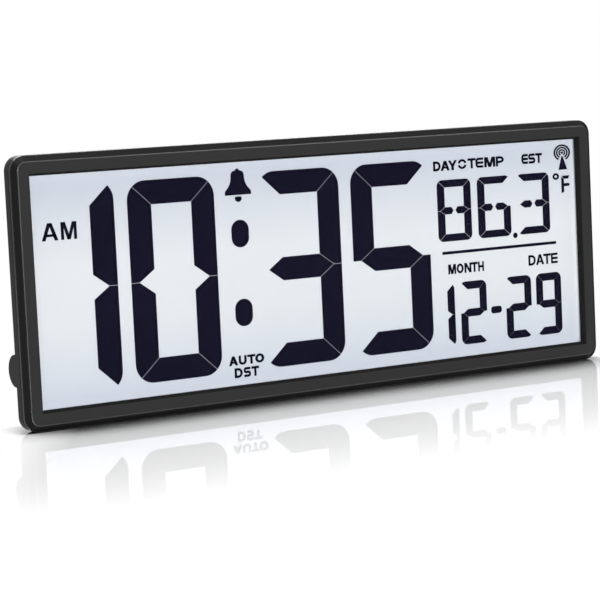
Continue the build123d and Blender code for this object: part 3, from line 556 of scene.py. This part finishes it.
mast_x = 165.25
mast_eye = 51.8
mast_foot = 41.95
mast_head = 49.8
mast_corners = [(-2.8, mast_foot), (3.5, mast_foot), (0.45, mast_head), (-0.35, mast_head)]
wave_rings = [(1.2, 2.0), (2.5, 3.37), (3.8, 4.75)]
wave_stretch = 1.27
wave_ends = (-62, 242)
dot_ring = (0.1, 0.72)
dot_stretch = 1.3
mast = bmesh.new()
for inner, outer in wave_rings:
    band(mast, mast_x, mast_eye, inner, outer, wave_stretch, *wave_ends)
band(mast, mast_x, mast_eye, *dot_ring, dot_stretch, 0, 360)
patch_of(mast, *[(mast_x + x, height) for x, height in mast_corners])
sign("radio_mast_sign", mast)

change_x = 94.05
change_height = 49.4
change_ring = (1.5, 2.78)
change_stretch = 1.1
change_starts = (14, 194)
change_sweep = 152
arrows = bmesh.new()
for start in change_starts:
    band(arrows, change_x, change_height, *change_ring, change_stretch, start, start + change_sweep)
sign("changeover_sign", arrows)

degree_x = 160.2
degree_height = 38.2
degree_ring = (0.75, 1.95)
degree_stretch = 1.2
scale_letter = [
    [(164.1, 28.2), (166.05, 29.0), (166.05, 36.6), (164.1, 37.8)],
    [(164.3, 38.4), (166.2, 36.55), (169.3, 36.55), (170.1, 38.4)],
    [(165.9, 32.25), (169.6, 32.25), (170.3, 33.1), (169.6, 34.0), (165.9, 34.0)],
]
degree = bmesh.new()
band(degree, degree_x, degree_height, *degree_ring, degree_stretch, 0, 360)
for corners in scale_letter:
    patch_of(degree, *corners)
sign("degree_sign", degree)

bell_x = -52.25
# Half outlines from the top down, as (distance from the bell's middle, height) in millimetres.
bell_half = [
    (0.0, 55.85), (0.5, 55.75), (0.9, 55.45), (1.15, 55.0), (1.6, 54.75), (2.5, 54.55), (3.25, 54.15),
    (3.75, 53.5), (4.0, 52.6), (4.1, 51.0), (4.3, 49.5), (4.7, 48.2), (5.3, 47.0), (6.0, 46.0), (7.0, 44.9),
    (7.7, 44.1), (8.0, 43.5), (8.05, 42.9), (8.05, 41.85),
]
clapper_half = [
    (1.5, 41.0), (1.9, 40.7), (2.05, 40.2), (2.05, 39.7), (1.85, 39.1), (1.4, 38.6), (0.8, 38.2),
    (0.0, 38.05),
]
bell = bmesh.new()
for half in (bell_half, clapper_half):
    for (inner, high), (outer, low) in zip(half, half[1:]):
        for side in (-1, 1):
            inner_x, outer_x = bell_x + side * inner, bell_x + side * outer
            patch_of(bell, (bell_x, high), (inner_x, high), (outer_x, low), (bell_x, low))
bmesh.ops.remove_doubles(bell, verts=bell.verts[:], dist=weld)
sign("alarm_bell_sign", bell)


# Display carrier and aerial holder: white moulded trays that the glass and the aerial sit in.
# Plain polystyrene with a smooth skin, clipped between the frame and the rear cover.
drift_size = 60 * mm
drift_share = 0.1
skin_spread = 0.06
fine_relief = 0.01 * mm


def tint(colour, share):
    """A colour made lighter or darker by one share."""
    return tuple(channel * share for channel in colour)


def moulded_plastic(name, colour, roughness, grain, gloss, depth=fine_relief, soft_edge=0.0):
    """Moulded plastic with a spark-eroded grain, a slow drift of tone and edges softened by a radius."""
    finish, tree, shader, place = new_finish(name)
    drift = mottle(tree, place, drift_size)
    darker = tint(colour, 1 - drift_share)
    lighter = tint(colour, 1 + drift_share)
    tree.links.new(
        shades(tree, drift, (dark_patch, darker), (pale_patch, lighter)), shader.inputs["Base Color"]
    )
    skin = mottle(tree, place, grain, detail=3.0)
    matt = spread(tree, skin, roughness - skin_spread, roughness + skin_spread)
    tree.links.new(matt, shader.inputs["Roughness"])
    relief(tree, skin, shader, depth)
    if soft_edge:
        soften(tree, shader, soft_edge)
    shader.inputs["Specular IOR Level"].default_value = gloss
    return finish


white_styrene = moulded_plastic(
    "white_styrene", colour=(0.7, 0.7, 0.68), roughness=0.5, grain=0.5 * mm, gloss=0.4
)
dress(white_styrene, "display_carrier", "aerial_holder")


# Display ribbon: the flat film lead from the glass's contact ledge to the board.
# Amber polyimide with fine carbon tracks side by side, bonded with heat at both ends.
def stripes(tree, place, scale):
    """Soft stripes side by side, from 0 to 1."""
    node = tree.nodes.new("ShaderNodeTexWave")
    node.inputs["Scale"].default_value = scale
    tree.links.new(place, node.inputs["Vector"])
    return node.outputs["Fac"]


track_scale = 300.0
film_amber = (0.42, 0.22, 0.05)
track_carbon = (0.05, 0.04, 0.03)
ribbon_film, tree, shader, place = new_finish("ribbon_film")
tracks = stripes(tree, place, track_scale)
tree.links.new(shades(tree, tracks, (0.45, film_amber), (0.55, track_carbon)), shader.inputs["Base Color"])
tree.links.new(spread(tree, tracks, 0.3, 0.45), shader.inputs["Roughness"])
dress(ribbon_film, "display_ribbon")


# Main board and radio board: glass-fibre circuit boards with a green solder mask over copper tracks.
# The main board is screwed to posts in the cover, and the radio board stands on it on a pin header.
grid_scale = 160.0
grid_line = 0.03
mask_relief = 0.03 * mm
mask_green = (0.012, 0.12, 0.035, 1)
mask_light = (0.016, 0.145, 0.045, 1)
mask_track = (0.03, 0.22, 0.07, 1)
board_mask, tree, shader, place = new_finish("board_mask")
grid = tree.nodes.new("ShaderNodeTexBrick")
grid.inputs["Scale"].default_value = grid_scale
grid.inputs["Mortar Size"].default_value = grid_line
grid.inputs["Color1"].default_value = mask_green
grid.inputs["Color2"].default_value = mask_light
grid.inputs["Mortar"].default_value = mask_track
flat = tree.nodes.new("ShaderNodeMapping")
flat.inputs["Rotation"].default_value = (math.pi / 2, 0, 0)
tree.links.new(place, flat.inputs["Vector"])
tree.links.new(flat.outputs["Vector"], grid.inputs["Vector"])
tree.links.new(grid.outputs["Color"], shader.inputs["Base Color"])
tree.links.new(spread(tree, grid.outputs["Fac"], 0.35, 0.25), shader.inputs["Roughness"])
relief(tree, grid.outputs["Fac"], shader, mask_relief)
dress(board_mask, "main_board", "radio_board")


# Parts on the board: the resin-covered chip, the quartz can, the capacitor, the header and the switches.
# Moulded black parts, a drawn steel can and a sleeved can, all soldered to the board.
worn_share = 0.85
worn_roughness = 0.15


def bare_metal(name, colour, roughness, size):
    """Plated sheet or wire metal with faint drawing marks."""
    finish, tree, shader, place = new_finish(name)
    marks = mottle(tree, place, size, detail=4.0)
    worn = tint(colour, worn_share)
    tree.links.new(shades(tree, marks, (dark_patch, worn), (pale_patch, colour)), shader.inputs["Base Color"])
    matt = spread(tree, marks, roughness, roughness + worn_roughness)
    tree.links.new(matt, shader.inputs["Roughness"])
    shader.inputs["Metallic"].default_value = 1.0
    return finish


chip_resin = moulded_plastic(
    "chip_resin", colour=(0.008, 0.008, 0.008), roughness=0.25, grain=3 * mm, gloss=0.5, depth=0.05 * mm
)
black_nylon = moulded_plastic(
    "black_nylon", colour=(0.012, 0.012, 0.012), roughness=0.45, grain=0.4 * mm, gloss=0.4
)
capacitor_sleeve = moulded_plastic(
    "capacitor_sleeve", colour=(0.012, 0.014, 0.05), roughness=0.3, grain=1.5 * mm, gloss=0.5
)
sensor_resin = moulded_plastic(
    "sensor_resin", colour=(0.03, 0.02, 0.012), roughness=0.25, grain=0.6 * mm, gloss=0.5, depth=0.02 * mm
)
steel_can = bare_metal("drawn_steel_can", colour=(0.6, 0.6, 0.58), roughness=0.25, size=2 * mm)
dress(chip_resin, "chip_cover")
dress(black_nylon, "radio_header", "switch_bodies")
dress(capacitor_sleeve, "capacitor")
dress(sensor_resin, "temperature_sensor")
dress(steel_can, "quartz_can")


# Radio aerial: a grey ferrite rod with a winding of enamelled copper wire in its middle.
# The rod lies in the saddles of its holder, and two thin leads take its signal to the radio board.
turn_scale = 700.0
turn_relief = 0.1 * mm
copper_dark = (0.16, 0.05, 0.02)
copper_bright = (0.55, 0.22, 0.09)
ferrite = moulded_plastic(
    "ferrite", colour=(0.035, 0.035, 0.038), roughness=0.6, grain=0.8 * mm, gloss=0.3, depth=0.05 * mm
)
dress(ferrite, "aerial_rod")
winding, tree, shader, place = new_finish("copper_winding")
turns = stripes(tree, place, turn_scale)
tree.links.new(shades(tree, turns, (0.2, copper_dark), (0.8, copper_bright)), shader.inputs["Base Color"])
tree.links.new(spread(tree, turns, 0.45, 0.25), shader.inputs["Roughness"])
relief(tree, turns, shader, turn_relief)
dress(winding, "aerial_coil")


# Buzzer: a thin brass disc with a smaller ceramic one glued to it, which rings for the alarm.
# The disc is glued by its edge to the ring inside the cover, behind the sound holes.
buzzer_brass = bare_metal("buzzer_brass", colour=(0.65, 0.46, 0.17), roughness=0.3, size=3 * mm)
dress(buzzer_brass, "buzzer_disc")
buzzer_ceramic = moulded_plastic(
    "buzzer_ceramic", colour=(0.6, 0.58, 0.52), roughness=0.6, grain=0.6 * mm, gloss=0.3
)
dress(buzzer_ceramic, "buzzer_ceramic")


# Leads: stranded copper in soft insulation, from the cells, the aerial and the buzzer to the board.
# Cut to length and soldered at both ends, they lie inside the closed case.
for name, colour, leads in (
    ("red_insulation", (0.35, 0.012, 0.01), ["red_battery_lead"]),
    ("black_insulation", (0.012, 0.012, 0.012), ["black_battery_lead"]),
    ("grey_insulation", (0.3, 0.3, 0.29), ["aerial_leads", "buzzer_leads"]),
):
    dress(moulded_plastic(name, colour, roughness=0.45, grain=0.8 * mm, gloss=0.4), *leads)


# Rear cover: the back of the case, with the housing for the cells, the board and the aerial.
# One black ABS moulding with a fine spark-eroded grain, keyhole slots, sound holes and vents.
cover_plastic = moulded_plastic(
    "cover_plastic", colour=(0.007, 0.007, 0.007), roughness=0.5, grain=0.5 * mm, gloss=0.085,
    depth=0.03 * mm, soft_edge=0.4 * mm,
)
dress(cover_plastic, "rear_cover")


# Key words: the name of each key's work, beside the keys on the back.
# Pad-printed on the cover in pale grey ink, one thin coat.
word_height = 3.3 * mm
print_thickness = 0.06 * mm
words_gap = 2.5 * mm
letter_width_share = 0.8
letter_depth_share = 0.5
bold_share = 0.012
panel_margin = 4 * mm
key_names = ("set", "mode", "up", "down", "alarm", "zone")
face_back = Matrix.Rotation(math.pi, 4, "Z") @ Matrix.Rotation(math.pi / 2, 4, "X")
pale_print = moulded_plastic(
    "pale_print", colour=(0.42, 0.42, 0.42), roughness=0.6, grain=0.3 * mm, gloss=0.2
)


def lettering(text):
    """Bold letters as a solid mesh, drawn upright and facing the back."""
    curve = bpy.data.curves.new(text, "FONT")
    curve.body = text
    curve.extrude = letter_depth_share
    curve.bevel_depth = bold_share
    curve.bevel_resolution = 0
    writer = bpy.data.objects.new(text, curve)
    mesh = bpy.data.meshes.new_from_object(writer)
    bpy.data.objects.remove(writer)
    mesh.transform(face_back)
    return mesh


def fit(mesh, low, high):
    """Stretches a mesh to fill a box."""
    spots = [vertex.co for vertex in mesh.vertices]
    least = Vector([min(spot[axis] for spot in spots) for axis in range(3)])
    most = Vector([max(spot[axis] for spot in spots) for axis in range(3)])
    shares = [(high[axis] - low[axis]) / (most[axis] - least[axis]) for axis in range(3)]
    mesh.transform(Matrix.Translation(low) @ Matrix.Diagonal((*shares, 1)) @ Matrix.Translation(-least))


def word_width(text):
    """How wide a printed word is."""
    return len(text) * letter_width_share * word_height


def print_word(name, text, corner, body):
    """Prints a word on the back of a body, from its lowest corner."""
    mesh = lettering(text)
    fit(mesh, corner, corner + Vector((word_width(text), print_thickness, word_height)))
    place_piece(name, mesh, pale_print, body)


cover_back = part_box("rear_cover")[1].y
for key in key_names:
    key_low, key_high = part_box(f"{key}_key")
    bottom = (key_low.z + key_high.z - word_height) / 2
    beside = key_high.x + panel_margin + words_gap
    print_word(f"{key}_word", key.upper(), Vector((beside, cover_back, bottom)), "case")


# Battery cells: four round cells side by side, each a plated steel can in a plain printed sleeve.
# The sleeve is rolled over the can's two shoulders, and a pip stands up at the raised end.
# They lie in the bay with neighbours turned end for end, between the contact plates and leaves.
cell_count = 4
cell_length = 50.2 * mm
cell_turns = 64
sharp_angle = math.radians(30)
can_profile = [
    (0.0, 0.0), (0.0, 2.1), (0.15, 2.5), (0.45, 2.7), (1.1, 2.7), (1.35, 2.9), (1.45, 3.3), (1.45, 6.8),
    (49.9, 6.8), (49.9, 5.5), (50.2, 5.2), (50.2, 0.0),
]
sleeve_profile = [
    (1.42, 5.9), (1.25, 5.9), (1.2, 6.5), (1.35, 6.95), (1.75, 7.1), (49.5, 7.1), (49.9, 6.95), (50.05, 6.5),
    (50.0, 5.9), (49.93, 5.9), (49.93, 6.85), (1.42, 6.85),
]
sleeve_dark = (0.07, 0.08, 0.09)
sleeve_pale = (0.09, 0.1, 0.115)
sheen_size = 8 * mm
sleeve_metal = 0.6
mark_size = 3.6 * mm
mark_stroke = 0.9 * mm
mark_place = 6.5 * mm
mark_steps = 6
cells_low, cells_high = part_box("battery_cells")
cell_radius = (cells_high.y - cells_low.y) / 2
cell_pitch = (cells_high.z - cells_low.z - 2 * cell_radius) / (cell_count - 1)
cells = []
for index in range(cell_count):
    side = 1 if index % 2 else -1
    axis_height = cells_low.z + cell_radius + index * cell_pitch
    cells.append((side, Vector((side * cells_high.x, (cells_low.y + cells_high.y) / 2, axis_height))))


def turned(name, profile, closed, finish):
    """Pieces turned about each cell's axis from one profile of (distance from the pip, radius)."""
    lathe = bmesh.new()
    for side, tip in cells:
        spots = [tip + Vector((-side * along * mm, radius * mm, 0)) for along, radius in profile]
        line = [lathe.verts.new(spot) for spot in spots]
        pairs = list(zip(line, line[1:])) + ([(line[-1], line[0])] if closed else [])
        drawn = [lathe.edges.new(pair) for pair in pairs]
        bmesh.ops.spin(
            lathe, geom=line + drawn, cent=tip, axis=(1, 0, 0), angle=2 * math.pi, steps=cell_turns,
            use_merge=True,
        )
    bmesh.ops.remove_doubles(lathe, verts=lathe.verts[:], dist=weld)
    bmesh.ops.recalc_face_normals(lathe, faces=lathe.faces[:])
    mesh = mesh_of(name, lathe)
    mesh.shade_smooth()
    mesh.set_sharp_from_angle(angle=sharp_angle)
    return place_piece(name, mesh, finish, "case")


cell_sleeve, tree, shader, place = new_finish("cell_sleeve")
sheen = mottle(tree, place, sheen_size)
tree.links.new(
    shades(tree, sheen, (dark_patch, sleeve_dark), (pale_patch, sleeve_pale)), shader.inputs["Base Color"]
)
tree.links.new(spread(tree, sheen, 0.25, 0.35), shader.inputs["Roughness"])
shader.inputs["Metallic"].default_value = sleeve_metal
sleeves = turned("cell_sleeves", sleeve_profile, True, cell_sleeve)
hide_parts("battery_cells")
cell_plate = bare_metal("cell_plate", colour=(0.62, 0.61, 0.58), roughness=0.25, size=2 * mm)
turned("cell_cans", can_profile, False, cell_plate)

marks = bmesh.new()
print_radius = cell_radius + print_thickness / 2
for side, tip in cells:
    plus = tip.x - side * mark_place
    minus = tip.x - side * (cell_length - mark_place)
    for middle, width, start, end in (
        (plus, mark_size, -mark_stroke / 2, mark_stroke / 2),
        (plus, mark_stroke, mark_stroke / 2, mark_size / 2),
        (plus, mark_stroke, -mark_size / 2, -mark_stroke / 2),
        (minus, mark_stroke, -mark_size / 2, mark_size / 2),
    ):
        low = Vector((middle - width / 2, tip.y, tip.z))
        high = Vector((middle + width / 2, tip.y, tip.z))
        for step in range(mark_steps):
            turns = [(start + (end - start) * (step + more) / mark_steps) / print_radius for more in (0, 1)]
            rim = [Vector((0, math.cos(turn), math.sin(turn))) * print_radius for turn in turns]
            corners = (low + rim[0], high + rim[0], high + rim[1], low + rim[1])
            marks.faces.new([marks.verts.new(corner) for corner in corners])
bmesh.ops.remove_doubles(marks, verts=marks.verts[:], dist=weld)
thicken(marks, -print_thickness)
place_piece("cell_marks", mesh_of("cell_marks", marks), pale_print, "case")


# Contacts: end plates and bowed leaves that join the four cells in a row.
# Stamped from nickel-plated spring steel and slid into the walls of the bay.
nickel_plate = bare_metal("nickel_plate", colour=(0.66, 0.64, 0.6), roughness=0.25, size=2 * mm)
dress(nickel_plate, "contact_plates", "contact_leaves")


# Battery door: the flat lid over the cells, which slides up out of its track.
# Moulded in the cover's plastic, with grip grooves near its top edge and a printed arrow and word.
dress(cover_plastic, "battery_door")
arrow_width = 9 * mm
arrow_rise = 6 * mm
arrow_gap = 24 * mm
open_gap = 2.4 * mm
door_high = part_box("battery_door")[1]
pointer = bmesh.new()
tip = Vector((0, door_high.y, door_high.z - arrow_gap))
base = tip - Vector((0, 0, arrow_rise))
half_width = Vector((arrow_width / 2, 0, 0))
pointer.faces.new([pointer.verts.new(corner) for corner in (tip, base + half_width, base - half_width)])
thicken(pointer, print_thickness)
place_piece("door_arrow", mesh_of("door_arrow", pointer), pale_print, "door")
corner = Vector((-word_width("OPEN") / 2, door_high.y, base.z - open_gap - word_height))
print_word("open_word", "OPEN", corner, "door")


# Keys and plungers: six capped keys in a sunk panel, each pressing the plunger of its switch.
# The caps are moulded in a softer grey-black, and the plungers in black nylon.
key_plastic = moulded_plastic(
    "key_plastic", colour=(0.05, 0.05, 0.052), roughness=0.42, grain=0.5 * mm, gloss=0.35, soft_edge=0.3 * mm
)
plunger_nylon = moulded_plastic(
    "plunger_nylon", colour=(0.02, 0.02, 0.02), roughness=0.4, grain=0.5 * mm, gloss=0.4
)
for key in key_names:
    dress(key_plastic, f"{key}_key")
    dress(plunger_nylon, f"{key}_plunger")


# Screws and hinge pins: self-tapping screws with cross recesses, and plain pins through the lugs.
# Steel with a dull zinc plating.
zinc_plate = bare_metal("zinc_plate", colour=(0.32, 0.32, 0.33), roughness=0.35, size=1.0 * mm)
dress(zinc_plate, "case_screws", "board_screws", "left_leg_pin", "right_leg_pin")


# Fold-out legs: two flat legs hinged low on the back, with rubber ends, for standing on a shelf.
# Moulded in the cover's plastic, with a sunk panel, and soft black rubber pressed on.
dress(cover_plastic, "left_leg", "right_leg")
foot_rubber = moulded_plastic(
    "foot_rubber", colour=(0.015, 0.015, 0.015), roughness=0.8, grain=0.7 * mm, gloss=0.2, depth=0.04 * mm
)
dress(foot_rubber, "left_foot_pad", "right_foot_pad")


# Studio: a polished white floor that mirrors the clock faintly near its foot, and soft lamps.
# The camera stands a little to the left and above, and leans slightly, as the picture was taken.
def ease(tree, value, low, high, start, end):
    """A spread that starts and ends softly."""
    eased = spread(tree, value, low, high, start, end)
    eased.node.interpolation_type = "SMOOTHSTEP"
    return eased


camera_turn = math.radians(-31.29864)
floor_size = 8.0
floor_roughness = 0.9
mirror_share = 0.46
mirror_reach = 0.41
shadow_reach = 0.058
shadow_greys = [(0.11, 0.97), (0.24, 0.62), (0.37, 0.17), (0.5, 0.05)]
side_start = 0.001
side_reach = 0.0075
far_start = 0.45
far_end = 1.0
corner_white = 0.85
corner_width = 0.03
corner_depths = (0.06, 0.26)
base_share = 0.3
base_depth = 0.03
floor_finish, tree, shader, place = new_finish("polished_floor")
shader.inputs["Roughness"].default_value = floor_roughness
shader.inputs["Specular IOR Level"].default_value = 0.0
spot = split_up(tree, place)
seen = tree.nodes.new("ShaderNodeLightPath").outputs["Is Camera Ray"]
# Painted shadow: for camera rays the floor's colour is darkened where ambient occlusion finds the clock close
# by.
close = tree.nodes.new("ShaderNodeAmbientOcclusion")
close.inputs["Distance"].default_value = shadow_reach
shadow = sum_up(tree, "MULTIPLY", sum_up(tree, "SUBTRACT", 1.0, close.outputs["AO"]), seen)
greys = shades(tree, shadow, *[(stop, (grey, grey, grey)) for stop, grey in shadow_greys])
tree.links.new(greys, shader.inputs["Base Color"])
mirror = tree.nodes.new("ShaderNodeBsdfGlossy")
mirror.inputs["Roughness"].default_value = 0.0
fade = ease(tree, spot["Y"], mirror_share, 0.0, frame_low.y, frame_low.y - mirror_reach)
polished = blend(tree, fade, shader.outputs["BSDF"], mirror.outputs["BSDF"])
away = tree.nodes.new("ShaderNodeVectorMath")
away.operation = "LENGTH"
tree.links.new(place, away.inputs[0])
far = spread(tree, away.outputs["Value"], 0.0, 1.0, far_start, far_end)
in_front = sum_up(tree, "LESS_THAN", spot["Y"], frame_low.y)
slope = math.tan(camera_turn)
shift = sum_up(tree, "ADD", sum_up(tree, "MULTIPLY", spot["Y"], slope), -slope * frame_low.y)
sheared = sum_up(tree, "ADD", spot["X"], shift)
beside = ease(tree, sheared, 0.0, 1.0, frame_low.x - side_start, frame_low.x - side_reach)
around = place
for operation, amount in (
    ("ABSOLUTE", None), ("SUBTRACT", cad_box[1]), ("MAXIMUM", (0, 0, 0)), ("LENGTH", None),
):
    node = tree.nodes.new("ShaderNodeVectorMath")
    node.operation = operation
    tree.links.new(around, node.inputs[0])
    if amount is not None:
        node.inputs[1].default_value = amount
    around = node.outputs["Value" if operation == "LENGTH" else "Vector"]
behind = ease(tree, around, 0.0, 1.0, side_start, side_reach)
near = sum_up(
    tree, "ADD",
    sum_up(tree, "MULTIPLY", beside, in_front),
    sum_up(tree, "MULTIPLY", behind, sum_up(tree, "SUBTRACT", 1.0, in_front)),
)
# Painted light: the floor is made whiter near the clock's left end, which lightens the painted shadow and the
# reflection there.
end_white = spread(tree, sheared, corner_white, 0.0, frame_low.x, frame_low.x + corner_width)
depth_white = ease(tree, spot["Y"], 1.0, 0.0, *(frame_low.y - depth for depth in corner_depths))
base_white = spread(tree, spot["Y"], base_share, 1.0, frame_low.y, frame_low.y - base_depth)
corner = in_front
for share in (end_white, depth_white, base_white):
    corner = sum_up(tree, "MULTIPLY", corner, share)
lit = sum_up(tree, "MAXIMUM", sum_up(tree, "MAXIMUM", far, near), corner)
plain_white = tree.nodes.new("ShaderNodeEmission")
floor_look = blend(tree, sum_up(tree, "MULTIPLY", lit, seen), polished, plain_white.outputs["Emission"])
tree.links.new(floor_look, tree.nodes["Material Output"].inputs["Surface"])
sheet = bmesh.new()
bmesh.ops.create_grid(sheet, x_segments=1, y_segments=1, size=floor_size / 2)
mesh = mesh_of("floor", sheet)
mesh.materials.append(floor_finish)
floor = bpy.data.objects.new("floor", mesh)
bpy.context.scene.collection.objects.link(floor)

# Each soft square lamp, its place and side in metres, and its power in watts.
lamps = [
    ("front_lamp", (-0.37, -1.5, 0.3), 0.25, 7.0),
    ("corner_lamp", (-0.62, -0.9, 1.23), 0.25, 1.8),
    ("fill_lamp", (0.9, -1.4, 0.8), 0.6, 5.8),
    ("top_lamp", (-0.2, 0.15, 1.6), 1.3, 22.5),
    ("back_lamp", (0.6, 1.4, 0.8), 0.9, 20.0),
]
for name, stand, size, power in lamps:
    light = bpy.data.lights.new(name, "AREA")
    light.shape = "SQUARE"
    light.size = size
    light.energy = power
    lamp = bpy.data.objects.new(name, light)
    bpy.context.scene.collection.objects.link(lamp)
    lamp.location = stand
    lamp.rotation_euler = (display_middle - Vector(stand)).to_track_quat("-Z", "Y").to_euler()

ambient = 0.36
world = bpy.data.worlds.new("studio")
bpy.context.scene.world = world
world.use_nodes = True
tree = world.node_tree
rays = tree.nodes.new("ShaderNodeLightPath").outputs
clear = sum_up(tree, "MAXIMUM", rays["Is Camera Ray"], rays["Is Glossy Ray"])
clear = sum_up(tree, "MAXIMUM", clear, rays["Is Transmission Ray"])
sky = tree.nodes["Background"]
sky.inputs["Color"].default_value = (1, 1, 1, 1)
tree.links.new(spread(tree, clear, ambient, 1.0), sky.inputs["Strength"])

camera_rise = math.radians(5.59743)
camera_lean = math.radians(-2.73383)
camera_distance = 1.199955
camera_target = Vector((-0.019946, -0.013, 0.053111))
lens_length = 133.778
sensor_width = 36.0
camera_data = bpy.data.cameras.new("camera")
camera_data.lens = lens_length
camera_data.sensor_width = sensor_width
camera = bpy.data.objects.new("camera", camera_data)
bpy.context.scene.collection.objects.link(camera)
forward = Vector((
    -math.sin(camera_turn) * math.cos(camera_rise),
    math.cos(camera_turn) * math.cos(camera_rise),
    -math.sin(camera_rise),
))
level_right = forward.cross(Vector((0, 0, 1))).normalized()
level_up = level_right.cross(forward)
right = math.cos(camera_lean) * level_right + math.sin(camera_lean) * level_up
up = math.cos(camera_lean) * level_up - math.sin(camera_lean) * level_right
stand = Matrix((right, up, -forward)).transposed().to_4x4()
stand.translation = camera_target - camera_distance * forward
camera.matrix_world = stand
bpy.context.scene.camera = camera
bpy.context.scene.view_settings.view_transform = "Standard"
